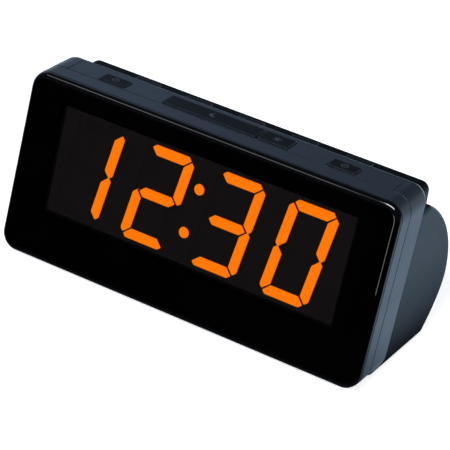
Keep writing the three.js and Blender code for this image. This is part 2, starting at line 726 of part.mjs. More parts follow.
function makeRearCabinet() {
  const slab = leaningLayer(slabOutline(0), PARTING - 15, SLAB_BACK, SLAB_BACK_ROUND);
  const slabHollow = leaningLayer(slabOutline(WALL), PARTING - 20, SLAB_BACK - WALL, 0.8);
  const outer = joined([slab, drum(0), shoulder()]);
  const hollow = joined([slabHollow, drum(WALL), shoulderHollow()]);

  const ledge = block(-LEDGE_HALF_WIDTH, LEDGE_HALF_WIDTH, -17, -2, FRONT_FLANGE_BOTTOM_Z, DECK_Z - 1);
  const panelSeat = block(
    -PANEL_HALF_WIDTH - GAP, PANEL_HALF_WIDTH + GAP, -30, PANEL_BACK_Y + GAP,
    PANEL_BOTTOM_Z - GAP, DECK_Z + PAST,
  );
  const rearSockets = rearKeyCentres().map((x) => keySocket(
    x - REAR_KEY_WIDTH / 2, x + REAR_KEY_WIDTH / 2, REAR_KEY_FRONT_Y, REAR_KEY_BACK_Y,
    REAR_DECK_Z - WALL - PAST, REAR_DECK_Z + PAST,
  ));
  const footRecesses = footPlaces().map(({ x, y }) => (
    rodZ(FOOT_RADIUS + GAP, BASE_Z - PAST, BASE_Z + FOOT_RECESS, x, y, 20)
  ));
  const inFrontOfParting = leaningLayer(
    roundedRectangle(-HALF_WIDTH - 5, HALF_WIDTH + 5, BASE_Z - 5, DECK_Z + 5, 1),
    PARTING - 60, PARTING + GAP,
  );

  const batteryBox = overDoor(BATTERY_BOX_WALL, BASE_Z + 0.4, BATTERY_BOX_TOP_Z);
  const inBatteryBox = overDoor(-1, BASE_Z - PAST, BATTERY_BOX_TOP_Z - BATTERY_BOX_WALL);
  const doorSeat = overDoor(GAP, BASE_Z - PAST, BASE_Z + DOOR_THICKNESS + GAP);

  const fixtures = joined([cabinetFittings(), ledge]).intersect(outer);
  const body = joined([outer.subtract(hollow), fixtures, batteryBox]);
  place('rear_cabinet', cut(body, [
    inFrontOfParting, inBatteryBox, doorSeat, panelSeat, ...flangeRooms(), ...rearSockets,
    ...screwWays(), ...grilleSlots(), ...backHoles(), ...footRecesses,
  ]), satinGrey);
}

// ---------------------------------------------------------------- base fittings

function makeBatteryFittings() {
  const plate = overDoor(0, BASE_Z, BASE_Z + DOOR_THICKNESS);
  const gripFront = DOOR_Y - DOOR_SIZE / 2 + 2;
  const fingerGrip = block(DOOR_X - 6, DOOR_X + 6, gripFront, gripFront + 3, BASE_Z - PAST, BASE_Z + 0.9);
  place('battery_door', plate.subtract(fingerGrip), satinGrey);

  const cellBottom = BASE_Z + DOOR_THICKNESS + 0.8;
  const cellTop = cellBottom + CELL_THICKNESS;
  place('backup_cell', rodZ(CELL_RADIUS, cellBottom, cellTop, DOOR_X, DOOR_Y, 32), tinned);

  // A leaf on top of the cell with one end turned up to the roof of the box
  const clipBottom = cellTop + GAP;
  const clipSheet = 0.5;
  const clipEnd = DOOR_X + 14;
  const leaf = block(DOOR_X - 3, clipEnd, DOOR_Y - 3, DOOR_Y + 3, clipBottom, clipBottom + clipSheet);
  const riser = block(clipEnd - 1, clipEnd, DOOR_Y - 3, DOOR_Y + 3, clipBottom, 10.6);
  place('cell_contact', leaf.add(riser), steel);
}

function makeFeet() {
  footPlaces().forEach(({ x, y }, i) => {
    const foot = rodZ(FOOT_RADIUS, 0, BASE_Z + FOOT_RECESS - GAP, x, y, 24);
    place(`rubber_foot_${i + 1}`, foot, rubber);
  });
}

function makeCaseScrews() {
  const headFront = SCREW_SEAT_Y + TOWER_FLOOR + GAP;
  const headBack = headFront + 2.2;
  const crossDepth = 0.9;
  const crossReach = 1.8;
  const crossHalf = 0.35;
  screwPlaces().forEach(({ x, z }, i) => {
    const head = rodY(SCREW_HEAD_RADIUS, headFront, headBack, x, z);
    const shank = rodY(SCREW_SHANK_RADIUS, SCREW_SEAT_Y - 12, headFront + 0.5, x, z, 12);
    const y0 = headBack - crossDepth;
    const y1 = headBack + PAST;
    const cross = [
      block(x - crossReach, x + crossReach, y0, y1, z - crossHalf, z + crossHalf),
      block(x - crossHalf, x + crossHalf, y0, y1, z - crossReach, z + crossReach),
    ];
    place(`case_screw_${i + 1}`, cut(head.add(shank), cross), steel);
  });
}

// ---------------------------------------------------------------- electronics

// A socket on the main board whose nose stands in its hole in the drum
function makeJack(name, { x, z, radius }) {
  const half = radius + 0.6;
  const body = block(x - half, x + half, 18, 30, MAIN_BOARD_TOP_Z + GAP, z + half);
  const nose = rodY(radius, 29.5, 34.8, x, z, 16);
  const bore = rodY(radius * 0.6, 22, 45, x, z, 16);
  place(name, body.add(nose).subtract(bore), darkPlastic);
}

function makeMainBoard() {
  const top = MAIN_BOARD_TOP_Z;
  const seat = top + GAP;
  place('main_board', block(-32, 70, -26, 21.5, top - BOARD, top), boardGreen);
  place('radio_chip', block(8, 20, -10, -2, seat, seat + 2), chipBlack);
  place('controller_chip', block(-20, -4, -14, 2, seat, seat + 2), chipBlack);
  place('crystal_can', block(-1, 3, 6, 16, seat, seat + 3.5), tinned);
  place('filter_capacitor_1', rodZ(4, seat, seat + 12, 60, -12, 20), blackSleeve);
  place('filter_capacitor_2', rodZ(4, seat, seat + 12, 60, 0, 20), blackSleeve);
  makeJack('power_jack', POWER_JACK);
  makeJack('audio_jack', AUDIO_JACK);
}

// Its rim lies in the collar; the basket, the cone and the magnet stand in front of the rim
function makeSpeaker() {
  const y = SPEAKER_Y;
  const z = SPEAKER_Z;
  const sheet = 1.0;
  const depth = 11;
  const inside = SPEAKER_RADIUS - 3.6;
  const outside = SPEAKER_RADIUS - 2.4;
  const basket = latheY([
    [outside, -sheet], [SPEAKER_RADIUS, -sheet], [SPEAKER_RADIUS, 0], [inside, 0],
    [inside, -1.2], [14, -depth + sheet], [7, -depth + sheet],
    [7, -depth], [14.5, -depth], [outside, -1.6], [outside, -sheet],
  ], 0, y, z, 28);
  place('speaker_basket', basket, steel);
  const cone = latheY([
    [0, -6.0], [5, -6.6], [6.5, -7.8], [19, -1.6], [20.9, -1.1], [20.9, -0.7], [19, -1.0],
    [6.5, -7.0], [4.6, -5.6], [0, -4.6], [0, -6.0],
  ], 0, y, z, 28);
  place('speaker_cone', cone, paper);
  const magnet = latheY([
    [0, -22], [13, -22], [13, -20], [15, -20], [15, -13], [12, -13], [12, -11.3], [0, -11.3], [0, -22],
  ], 0, y, z, 28);
  place('speaker_magnet', magnet, ferrite);
}

function curveThrough(points) {
  return new THREE.CatmullRomCurve3(points.map(([x, y, z]) => new THREE.Vector3(x, y, z)));
}

const BOARD_JOINT_Z = MAIN_BOARD_TOP_Z + GAP;

// Two leads from the loudspeaker to the main board
function makeSpeakerWires() {
  const lead = (x) => curveThrough([
    [21 + x, SPEAKER_Y - 5, SPEAKER_Z], [27 + x, 8, 26], [26 + x, -4, 20], [25 + x, -6, BOARD_JOINT_Z],
  ]);
  place('speaker_wire_red', wire(lead(3.5), 0.6, 14), redSleeve);
  place('speaker_wire_black', wire(lead(6), 0.6, 14), blackSleeve);
}

// Leaves the lower back of the drum, drops to the table and lies on it
function makeAerialWire() {
  const { x, z, radius } = AERIAL;
  const onTable = radius + 0.25;
  const path = curveThrough([
    [x, 14, z + 2], [x, 26, z + 0.3], [x, 35.5, z], [x - 1, 39, z - 3.5],
    [x - 3.5, 39.6, onTable + 2], [x - 12, 38.5, onTable], [x - 34, 37, onTable],
  ]);
  place('aerial_wire', wire(path, radius, 30), blackSleeve);
}

// Flat cable from the back of the display board down to the main board
function makeDisplayCable() {
  const startZ = 36;
  const thickness = 0.6;
  const start = layerY(DISPLAY_BOARD_BACK + GAP, startZ) + 0.2;
  const end = start + 6;
  const outline = new THREE.Shape();
  outline.moveTo(start, startZ);
  outline.bezierCurveTo(start + 4, startZ - 4, end, 26, end, BOARD_JOINT_Z);
  outline.lineTo(end + thickness, BOARD_JOINT_Z);
  outline.bezierCurveTo(end + thickness, 26, start + 4 + thickness, startZ - 4, start + thickness, startZ);
  place('display_cable', acrossWidth(outline, 7, 0, 40), ribbonGrey);
}

// ---------------------------------------------------------------- assembly

makeLens();
makeFrontCabinet();
makeDisplay();
makeButtonPanel();
makeFrontKeys();
makeRearKeys();
makeKeySwitches();
makeRearCabinet();
makeBatteryFittings();
makeFeet();
makeCaseScrews();
makeMainBoard();
makeSpeaker();
makeSpeakerWires();
makeAerialWire();
makeDisplayCable();

export default clockRadio;
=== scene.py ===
# Looks for the bedside clock radio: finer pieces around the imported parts, their materials and a
# pale studio. Lengths are millimetres, and become metres when a mesh is made; the studio's lights
# and camera are placed in metres.
import math

import bmesh
import bpy
from mathutils import Matrix, Vector


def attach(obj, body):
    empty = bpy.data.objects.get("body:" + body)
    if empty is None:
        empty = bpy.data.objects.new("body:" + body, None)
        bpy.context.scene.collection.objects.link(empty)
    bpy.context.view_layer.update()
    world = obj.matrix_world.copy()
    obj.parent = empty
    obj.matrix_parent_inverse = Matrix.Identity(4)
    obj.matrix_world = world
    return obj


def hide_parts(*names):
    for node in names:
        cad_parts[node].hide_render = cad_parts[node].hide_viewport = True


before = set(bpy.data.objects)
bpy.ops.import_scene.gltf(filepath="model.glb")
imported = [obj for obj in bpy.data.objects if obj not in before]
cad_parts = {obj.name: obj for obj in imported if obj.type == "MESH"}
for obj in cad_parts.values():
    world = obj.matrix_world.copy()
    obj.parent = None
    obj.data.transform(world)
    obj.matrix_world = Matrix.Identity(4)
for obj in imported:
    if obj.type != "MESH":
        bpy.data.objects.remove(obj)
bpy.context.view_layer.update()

MM = 0.001  # metres in a millimetre

# ---------- dimensions, as in the parts

WIDTH = 186.4  # across the front slab
HALF_WIDTH = WIDTH / 2
DECK_Z = 85.3  # top deck above the table
BASE_Z = 1.0  # underside of the case, on its feet
LEAN = math.radians(10.3)  # the display leans back by this much
SLOPE = math.tan(LEAN)
FACE_Y = -33.18  # front of the lens at the height of the window's centre
WINDOW_Z = 49.4
SLAB_CORNER = 8.0  # corner radius of the slab, seen from the front
WALL = 2.2
GAP = 0.3  # between neighbouring pieces
PAST = 1.0  # cutters run past the surface they cut by this much
FAR = 60.0  # cutters that leave through the back end here

# Layers of the leaning slab, measured back from the front of the lens
LENS_BACK = 2.2
LENS_EDGE_DEPTH = 1.8  # the lens's rounded edge, back from the front
LENS_EDGE_REACH = 2.8  # and in from the side
LENS_MARGIN = 0.2  # the lens is this much smaller than the slab all round
BULKHEAD = 1.5  # wall behind the lens
PARTING = 10.2
SLAB_BACK = 26.2
SLAB_BACK_ROUND = 3.0

# Drum and shoulder, behind the slab; the points are (y, z) in the drum's section
DRUM_HALF_WIDTH = 91.3
DRUM_END_ROUND = 2.0
DRUM_TOP = (9.3, 71.7)
DRUM_BACK = (41.45, 27.9)
BASE_BACK_Y = 24.8
SHOULDER_HALF_WIDTH = 87.0
SHOULDER_Y = 14.3
SHOULDER_ROUND = 1.8  # along its back edges
SHOULDER_CORNER = 4.0  # its upper corners, seen from the back
REAR_DECK_Z = 79.7

# Button panel in the top deck, and the ledge that holds it
PANEL_HALF_WIDTH = 82.3
PANEL_BACK_Y = -3.1
PANEL_BOTTOM_Z = DECK_Z - 1.5
LEDGE_HALF_WIDTH = 86.0

# Keys
KEY_FRONT_Y = -14.8
KEY_PROUD = 0.5
KEY_CORNER = 0.9
KEY_CROWN_ROUND = 0.45
KEY_SOCKET_CORNER = 1.0
KEY_STEM_RADIUS = 1.5
KEY_STEM_END_Z = 74.9
FLANGE = 0.9
FLANGE_PLAY = 0.5  # room round a flange
FRONT_FLANGE_BOTTOM_Z = PANEL_BOTTOM_Z - GAP - 1.4
REAR_FLANGE_THICKNESS = 1.0
SINGLE_KEY_DEPTH = 7.3
MIDDLE_KEY_DEPTH = 9.5
# Left, right, depth, and how far the flange reaches past the cap on the left and on the right
FRONT_KEYS = {
    "alarm_one_key": (-66.4, -52.8, SINGLE_KEY_DEPTH, FLANGE, FLANGE),
    "snooze_key": (-33.1, 15.0, MIDDLE_KEY_DEPTH, FLANGE, 0.0),
    "dimmer_key": (15.5, 30.7, MIDDLE_KEY_DEPTH, 0.0, FLANGE),
    "alarm_two_key": (50.1, 63.9, SINGLE_KEY_DEPTH, FLANGE, FLANGE),
}
# Left, right and depth
FRONT_OPENINGS = [
    (-66.4, -52.8, SINGLE_KEY_DEPTH), (-33.1, 30.7, MIDDLE_KEY_DEPTH), (50.1, 63.9, SINGLE_KEY_DEPTH),
]
REAR_KEY_COUNT = 5
REAR_KEY_Y = 7.0  # middle of the rear row
REAR_KEY_PITCH = 27.2
REAR_KEY_HALF = (6.5, 3.5)

# Marks on the front keys
MARK_DEPTH, MARK_PROUD = 0.02, 0.03
RING_RADIUS, RING_HOLE_RADIUS = 1.7, 1.25
MOON_X, MOON_RADIUS = -9.05, 1.9
MOON_BITE = (0.9, 0.5, 1.5)  # its offset across and up from the moon, and its radius
SUN_X, SUN_RADIUS = 23.1, 1.0
RAY_COUNT = 8
RAY_FROM, RAY_TO, RAY_HALF_WIDTH = 1.4, 2.2, 0.18

# Display
WINDOW_WIDTH = 147.3
WINDOW_HEIGHT = 49.4
REFLECTOR_SIZE = (152.0, 55.0)
SEGMENT_FRONT = LENS_BACK + GAP + 0.05
SEGMENT_BACK = 7.95
GUIDE_FRONT, GUIDE_BACK = 7.96, 8.7

# Speaker, screws, door, jacks, aerial and feet
SPEAKER_RADIUS = 25.0
SPEAKER_Y = 25.6  # plane of its mounting rim
SPEAKER_Z = 30.5
COLLAR_WALL = 2.4
SLOT_PITCH, SLOT_HEIGHT = 4.0, 1.7
SCREW_X = 82.5
SCREW_HEIGHTS = (12.0, 56.0)
SCREW_SEAT_Y = 8.0  # where the posts meet the towers
SCREW_HEAD_RADIUS, SCREW_HEAD_WAY = 2.8, 3.4
SCREW_SHANK_RADIUS, SCREW_SHANK_WAY = 1.5, 1.8
POST_RADIUS, TOWER_RADIUS = 4.0, 5.2
TOWER_FLOOR = 2.4  # under a screw's head
DOOR_X, DOOR_Y, DOOR_SIZE = -54.0, 2.0, 34.0
DOOR_THICKNESS = 1.8
BATTERY_BOX_WALL = 1.4
BATTERY_BOX_TOP_Z = 12.4
POWER_JACK = (58.0, 14.5, 4.2)  # x, z and radius, as for the next two
AUDIO_JACK = (42.0, 14.5, 3.0)
AERIAL = (-38.0, 12.5, 1.0)
FOOT_RADIUS = 4.5
FOOT_RECESS = 0.8
FEET = [(x, y) for x in (-76.0, 76.0) for y in (-22.0, 18.0)]


def layer_y(depth, z):
    """Where a layer of the leaning slab stands at a height."""
    return FACE_Y + depth / math.cos(LEAN) + (z - WINDOW_Z) * SLOPE


# ---------- outlines

def arc(centre, radius, start_deg, end_deg, steps):
    """Points on an arc, both ends included."""
    angles = [math.radians(start_deg + (end_deg - start_deg) * i / steps) for i in range(steps + 1)]
    return [(centre[0] + radius * math.cos(a), centre[1] + radius * math.sin(a)) for a in angles]


def circle(a, b, radius, sides=32):
    """Points round a circle, in the plane of an outline."""
    return arc((a, b), radius, 0, 360, sides)[:-1]


def rounded_rectangle(left, right, low, high, radius, steps=8):
    """A rectangle with arcs of this many steps at its corners, counter-clockwise."""
    corners = [
        ((right - radius, low + radius), -90), ((right - radius, high - radius), 0),
        ((left + radius, high - radius), 90), ((left + radius, low + radius), 180),
    ]
    return [p for centre, start in corners for p in arc(centre, radius, start, start + 90, steps)]


def rectangle(left, right, low, high):
    return [(left, low), (right, low), (right, high), (left, high)]


def bezier(start, control_a, control_b, end, steps):
    """Points on a cubic curve, without its start."""
    points = []
    for i in range(1, steps + 1):
        t = i / steps
        weights = ((1 - t) ** 3, 3 * t * (1 - t) ** 2, 3 * t * t * (1 - t), t ** 3)
        corners = (start, control_a, control_b, end)
        points.append(tuple(sum(w * c[k] for w, c in zip(weights, corners)) for k in (0, 1)))
    return points


def drawn_in(outline, margin):
    """The outline with every side moved inwards by a margin. It runs counter-clockwise."""
    if margin == 0:
        return list(outline)
    moved = []
    for i, (a, b) in enumerate(outline):
        here = Vector((a, b))
        before = (here - Vector(outline[i - 1])).normalized()
        after = (Vector(outline[(i + 1) % len(outline)]) - here).normalized()
        inward = Vector((-before.y - after.y, before.x + after.x)).normalized()
        squareness = inward.x * -after.y + inward.y * after.x
        corner = here + inward * (margin / squareness)
        moved.append((corner.x, corner.y))
    return moved


def softened(outline, radius, steps=3):
    """The outline with its corners rounded."""
    points = []
    for i, (a, b) in enumerate(outline):
        here = Vector((a, b))
        back = Vector(outline[i - 1]) - here
        ahead = Vector(outline[(i + 1) % len(outline)]) - here
        reach = min(radius, back.length * 0.45, ahead.length * 0.45)
        start = here + back.normalized() * reach
        end = here + ahead.normalized() * reach
        for step in range(steps + 1):
            t = step / steps
            point = start * (1 - t) ** 2 + here * 2 * t * (1 - t) + end * t * t
            points.append((point.x, point.y))
    return points


# ---------- meshes

def new_object(name, points, faces):
    """A mesh object from points in millimetres, with its normals facing out."""
    mesh = bpy.data.meshes.new(name)
    mesh.from_pydata([Vector(p) * MM for p in points], [], faces)
    obj = bpy.data.objects.new(name, mesh)
    bpy.context.scene.collection.objects.link(obj)
    work = bmesh.new()
    work.from_mesh(mesh)
    bmesh.ops.recalc_face_normals(work, faces=work.faces)
    work.to_mesh(mesh)
    work.free()
    return obj


def loft(name, rings):
    """A closed body through rings of equal count, with a flat cap at each end."""
    count = len(rings[0])
    faces = [tuple(range(count)), tuple(range((len(rings) - 1) * count, len(rings) * count))]
    for ring in range(len(rings) - 1):
        for i in range(count):
            here, ahead = ring * count + i, ring * count + (i + 1) % count
            faces.append((here, ahead, ahead + count, here + count))
    return new_object(name, [p for ring in rings for p in ring], faces)


# Where a point (a, b) of an outline stands at a level w along each axis
AXES = {
    "x": lambda a, b, w: (w, a, b),
    "y": lambda a, b, w: (a, w, b),
    "z": lambda a, b, w: (a, b, w),
    "face": lambda a, b, w: (
        a,
        FACE_Y + w * math.cos(LEAN) + b * math.sin(LEAN),
        WINDOW_Z - w * math.sin(LEAN) + b * math.cos(LEAN),
    ),
}


def rounded_levels(start, end, start_round, end_round, steps):
    """Pairs of margin and level for a prism whose end edges are rounded."""
    quarter = [math.radians(90 * i / steps) for i in range(steps + 1)]
    first = [(start_round * (1 - math.sin(t)), start + start_round * (1 - math.cos(t))) for t in quarter]
    last = [(end_round * (1 - math.cos(t)), end - end_round * (1 - math.sin(t))) for t in quarter]
    return (first if start_round else [(0, start)]) + (last if end_round else [(0, end)])


def prism(name, outline, axis, start, end, start_round=0.0, end_round=0.0, steps=4):
    """An outline swept along an axis. On the face axis it leans with the display."""
    rings = []
    for margin, level in rounded_levels(start, end, start_round, end_round, steps):
        rings.append([AXES[axis](a, b, level) for a, b in drawn_in(outline, margin)])
    return loft(name, rings)


def block(name, x0, x1, y0, y1, z0, z1):
    return prism(name, rectangle(x0, x1, y0, y1), "z", z0, z1)


def slab_ring(margin, depth):
    """The slab's outline drawn in by a margin, at a depth behind the front."""
    outline = rounded_rectangle(-HALF_WIDTH + margin, HALF_WIDTH - margin, BASE_Z + margin, DECK_Z - margin,
                                SLAB_CORNER - margin, 14)
    return [(x, layer_y(depth, z), z) for x, z in outline]


def slab_layer(name, levels):
    """A layer of the leaning slab through pairs of margin and depth."""
    return loft(name, [slab_ring(margin, depth) for margin, depth in levels])


def combined(obj, other, operation):
    """Joins or cuts obj with other, which is used up."""
    modifier = obj.modifiers.new("join", "BOOLEAN")
    modifier.operation = operation
    modifier.solver = "MANIFOLD"
    modifier.object = other
    bpy.context.view_layer.update()
    graph = bpy.context.evaluated_depsgraph_get()
    result = bpy.data.meshes.new_from_object(obj.evaluated_get(graph))
    obj.modifiers.clear()
    spent = [obj.data, other.data]
    obj.data = result
    bpy.data.objects.remove(other)
    for mesh in spent:
        bpy.data.meshes.remove(mesh)
    return obj


def cut(obj, *cutters):
    for cutter in cutters:
        combined(obj, cutter, "DIFFERENCE")
    return obj


def joined(obj, *others):
    for other in others:
        combined(obj, other, "UNION")
    return obj


# ---------- materials

class Tree:
    """The node tree of a world or a material."""

    def __init__(self, owner):
        owner.use_nodes = True
        self.tree = owner.node_tree

    def add(self, kind, **settings):
        node = self.tree.nodes.new(kind)
        for key, value in settings.items():
            setattr(node, key, value)
        return node

    def link(self, source, target):
        self.tree.links.new(source, target)

    def put(self, socket, value):
        """Gives an input a value, or links it to an output."""
        if isinstance(value, bpy.types.NodeSocket):
            self.link(value, socket)
        else:
            socket.default_value = value

    def ramp(self, source, stops):
        """A colour ramp through pairs of position and colour."""
        node = self.add("ShaderNodeValToRGB")
        elements = node.color_ramp.elements
        while len(elements) < len(stops):
            elements.new(0.5)
        for element, (position, colour) in zip(elements, stops):
            element.position = position
            element.color = (*colour, 1)
        self.link(source, node.inputs["Fac"])
        return node.outputs["Color"]

    def math(self, operation, *values):
        """A math node on numbers and sockets."""
        node = self.add("ShaderNodeMath", operation=operation)
        for socket, value in zip(node.inputs, values):
            self.put(socket, value)
        return node.outputs["Value"]

    def dot(self, first, second):
        """The dot product of two vectors, which are sockets or tuples."""
        node = self.add("ShaderNodeVectorMath", operation="DOT_PRODUCT")
        self.put(node.inputs[0], first)
        self.put(node.inputs[1], second)
        return node.outputs["Value"]

    def along(self, axis, vector):
        """A vector's part along X, Y or Z."""
        node = self.add("ShaderNodeSeparateXYZ")
        self.link(vector, node.inputs["Vector"])
        return node.outputs[axis]

    def mix(self, factor, first, second, blend="MIX"):
        """A colour between two colours, which are sockets or tuples."""
        node = self.add("ShaderNodeMix", data_type="RGBA", blend_type=blend)
        self.put(node.inputs["Factor"], factor)
        for socket, value in ((node.inputs[6], first), (node.inputs[7], second)):
            self.put(socket, (*value, 1) if isinstance(value, tuple) else value)
        return node.outputs[2]


class Nodes(Tree):
    """A material under construction."""

    def __init__(self, name):
        self.material = bpy.data.materials.new(name)
        super().__init__(self.material)
        self.shader = self.tree.nodes["Principled BSDF"]
        self.output = self.tree.nodes["Material Output"]
        self.place = self.add("ShaderNodeTexCoord").outputs["Object"]

    def feed(self, name, value):
        """Sets or links an input of the surface shader."""
        self.put(self.shader.inputs[name], value)

    def noise(self, size_mm, detail=2.0, stretch=(1, 1, 1)):
        """Noise whose features are about this big."""
        mapping = self.add("ShaderNodeMapping")
        mapping.inputs["Scale"].default_value = stretch
        self.link(self.place, mapping.inputs["Vector"])
        node = self.add("ShaderNodeTexNoise")
        node.inputs["Scale"].default_value = 1 / (size_mm * MM)
        node.inputs["Detail"].default_value = detail
        self.link(mapping.outputs["Vector"], node.inputs["Vector"])
        return node.outputs["Fac"]

    def between(self, source, low, high):
        """Maps 0..1 to low..high."""
        return self.math("MULTIPLY_ADD", source, high - low, low)

    def bump(self, height, depth_mm, edge_mm=0.0):
        """Bump of this depth; edges can be softened over a small radius."""
        node = self.add("ShaderNodeBump")
        node.inputs["Strength"].default_value = 1.0
        node.inputs["Distance"].default_value = depth_mm * MM
        self.link(height, node.inputs["Height"])
        if edge_mm:
            soft = self.add("ShaderNodeBevel", samples=4)
            soft.inputs["Radius"].default_value = edge_mm * MM
            self.link(soft.outputs["Normal"], node.inputs["Normal"])
        self.link(node.outputs["Normal"], self.shader.inputs["Normal"])

    def mix_shaders(self, factor, first, second):
        """A shader between two shaders, which also becomes the material's surface."""
        node = self.add("ShaderNodeMixShader")
        for source, target in zip((factor, first, second), node.inputs):
            self.link(source, target)
        self.link(node.outputs["Shader"], self.output.inputs["Surface"])
        return node.outputs["Shader"]

    def paint_shade(self, share):
        """Paints shade: keeps this share of all the light that leaves the surface and swaps the rest for
        black.
        """
        # painted shade: a black shader takes the place of the light that is not kept
        painted_shade_black = self.add("ShaderNodeBsdfDiffuse")
        painted_shade_black.inputs["Color"].default_value = (0, 0, 0, 1)
        self.mix_shaders(share, painted_shade_black.outputs["BSDF"], self.shader.outputs["BSDF"])

    def edges(self, radius_mm):
        """1 on sharp edges and 0 on flat places."""
        soft = self.add("ShaderNodeBevel", samples=4)
        soft.inputs["Radius"].default_value = radius_mm * MM
        plain = self.add("ShaderNodeNewGeometry")
        return self.math("SUBTRACT", 1.0, self.dot(soft.outputs["Normal"], plain.outputs["Normal"]))


def scaled(colour, factor):
    """A colour made lighter or darker."""
    return tuple(min(1.0, c * factor) for c in colour)


def plastic(name, colour, roughness, grain_mm=0.35, grain_depth=0.012, variation=0.08, edge=0.25,
            tint=(1, 1, 1), shade=None):
    """Moulded plastic: fine spark-eroded grain, slight mottling, and edges polished by handling.
    shade, a function of the nodes, is painted shade: it gives the share of its light that each place keeps."""
    n = Nodes(name)
    broad = n.noise(28, 3)
    fine = n.noise(grain_mm, 2)
    ground = n.ramp(broad, [(0.3, scaled(colour, 1 - variation)), (0.7, scaled(colour, 1 + variation))])
    speck = n.ramp(fine, [(0.35, (0.9, 0.9, 0.9)), (0.65, (1.06, 1.06, 1.06))])
    mottled = n.mix(1.0, ground, speck, "MULTIPLY")
    worn = n.math("MULTIPLY", n.edges(0.35), n.between(n.noise(3, 3), 0.6, 2.6))
    base = n.mix(n.math("MINIMUM", worn, edge), mottled, scaled(colour, 1.8))
    n.feed("Specular Tint", (*tint, 1))
    if shade:
        # painted shade from the shade function
        n.paint_shade(shade(n))
    n.feed("Base Color", base)
    rough = n.math("ADD", n.between(n.noise(9, 3), roughness - 0.05, roughness + 0.05),
                   n.math("MULTIPLY", worn, -0.12))
    n.feed("Roughness", rough)
    n.bump(fine, grain_depth, edge_mm=0.25)
    return n.material


def metal(name, colour, roughness, stretch=(1, 1, 8)):
    """Rolled or turned metal with fine lines and slight staining."""
    n = Nodes(name)
    lines = n.noise(0.6, 3, stretch)
    stain = n.noise(7, 4)
    n.feed("Base Color", n.ramp(stain, [(0.3, scaled(colour, 0.78)), (0.7, colour)]))
    n.feed("Metallic", 1.0)
    n.feed("Roughness", n.between(lines, roughness - 0.08, roughness + 0.12))
    n.bump(lines, 0.01, edge_mm=0.15)
    return n.material


def circuit_board(name):
    """Green solder mask over copper tracks, with tinned pads."""
    n = Nodes(name)
    brick = n.add("ShaderNodeTexBrick")
    brick.inputs["Scale"].default_value = 1.0
    for key, size_mm in (("Brick Width", 6.1), ("Row Height", 1.7), ("Mortar Size", 0.25)):
        brick.inputs[key].default_value = size_mm * MM
    brick.inputs["Color1"].default_value = (0.008, 0.06, 0.022, 1)
    brick.inputs["Color2"].default_value = (0.012, 0.085, 0.03, 1)
    brick.inputs["Mortar"].default_value = (0.03, 0.17, 0.05, 1)
    n.link(n.place, brick.inputs["Vector"])
    pads = n.add("ShaderNodeTexVoronoi")
    pads.inputs["Scale"].default_value = 220
    n.link(n.place, pads.inputs["Vector"])
    is_pad = n.math("LESS_THAN", pads.outputs["Distance"], 0.16)
    n.feed("Base Color", n.mix(is_pad, brick.outputs["Color"], (0.62, 0.6, 0.55)))
    n.feed("Metallic", is_pad)
    n.feed("Roughness", n.between(n.noise(4, 3), 0.28, 0.45))
    n.bump(brick.outputs["Fac"], 0.03, edge_mm=0.1)
    return n.material


def rubber(name):
    """Moulded rubber, dusty in patches."""
    n = Nodes(name)
    dust = n.noise(5, 4)
    n.feed("Base Color", n.ramp(dust, [(0.35, (0.011, 0.011, 0.011)), (0.8, (0.035, 0.034, 0.032))]))
    n.feed("Roughness", n.between(dust, 0.72, 0.95))
    n.bump(n.noise(0.5, 3), 0.04, edge_mm=0.2)
    return n.material


def cone_paper(name):
    """Pressed pulp with fibres."""
    n = Nodes(name)
    fibres = n.noise(0.8, 5, (1, 3, 1))
    n.feed("Base Color", n.ramp(fibres, [(0.35, (0.008, 0.008, 0.009)), (0.7, (0.03, 0.03, 0.032))]))
    n.feed("Roughness", 0.9)
    n.feed("Sheen Weight", 0.2)
    n.bump(fibres, 0.08)
    return n.material


def ribbon(name):
    """Flat cable: parallel cores in grey insulation."""
    n = Nodes(name)
    cores = n.add("ShaderNodeTexWave", bands_direction="X", wave_profile="SIN")
    cores.inputs["Scale"].default_value = 1 / (3.5 * MM)
    n.link(n.place, cores.inputs["Vector"])
    grey = n.ramp(cores.outputs["Fac"], [(0.0, (0.16, 0.165, 0.17)), (0.6, (0.36, 0.37, 0.38))])
    n.feed("Base Color", grey)
    n.feed("Roughness", n.between(n.noise(2, 2), 0.45, 0.6))
    n.bump(cores.outputs["Fac"], 0.15)
    return n.material


def face_coordinates(n):
    """Distances in metres from the window's centre: across the leaning face, up it, and behind it."""
    shifted = n.add("ShaderNodeVectorMath", operation="SUBTRACT")
    shifted.inputs[1].default_value = (0, FACE_Y * MM, WINDOW_Z * MM)
    n.link(n.place, shifted.inputs[0])
    directions = ((1, 0, 0), (0, math.sin(LEAN), math.cos(LEAN)), (0, math.cos(LEAN), -math.sin(LEAN)))
    return [n.dot(shifted.outputs["Vector"], direction) for direction in directions]


# Painted shade behind the slab: shares of the light kept at heights in millimetres, darkest near the table
# and on the rear deck
PAINTED_REAR_SHADE_SHARES = ((1, 0.06), (6, 0.11), (22, 0.34), (45, 0.52), (68, 0.55), (76, 0.4), (78.6, 0.2), (90, 0.2))
PAINTED_REAR_SHADE_TOP = 90
UNDERSIDE_SHADE_SHARE = 0.45


def painted_rear_shade(n):
    """Painted shade: 1 on the slab; behind it the housing is painted darker, as shade, more so on its deck
    and towards the table.
    The table above pairs heights in millimetres with shares of the light; faces turned down keep at least the
    underside's share."""
    behind = n.math("GREATER_THAN", face_coordinates(n)[2], (SLAB_BACK - 0.4) * MM)
    share = n.math("DIVIDE", n.along("Z", n.place), PAINTED_REAR_SHADE_TOP * MM)
    darker = n.ramp(share, [(z / PAINTED_REAR_SHADE_TOP, (tone, tone, tone)) for z, tone in PAINTED_REAR_SHADE_SHARES])
    facing_up = n.along("Z", n.add("ShaderNodeNewGeometry").outputs["Normal"])
    underside = n.math("LESS_THAN", facing_up, -0.95)
    darker = n.math("MAXIMUM", darker, n.math("MULTIPLY", underside, UNDERSIDE_SHADE_SHARE))
    return n.math("ADD", n.math("SUBTRACT", 1.0, behind), n.math("MULTIPLY", behind, darker))


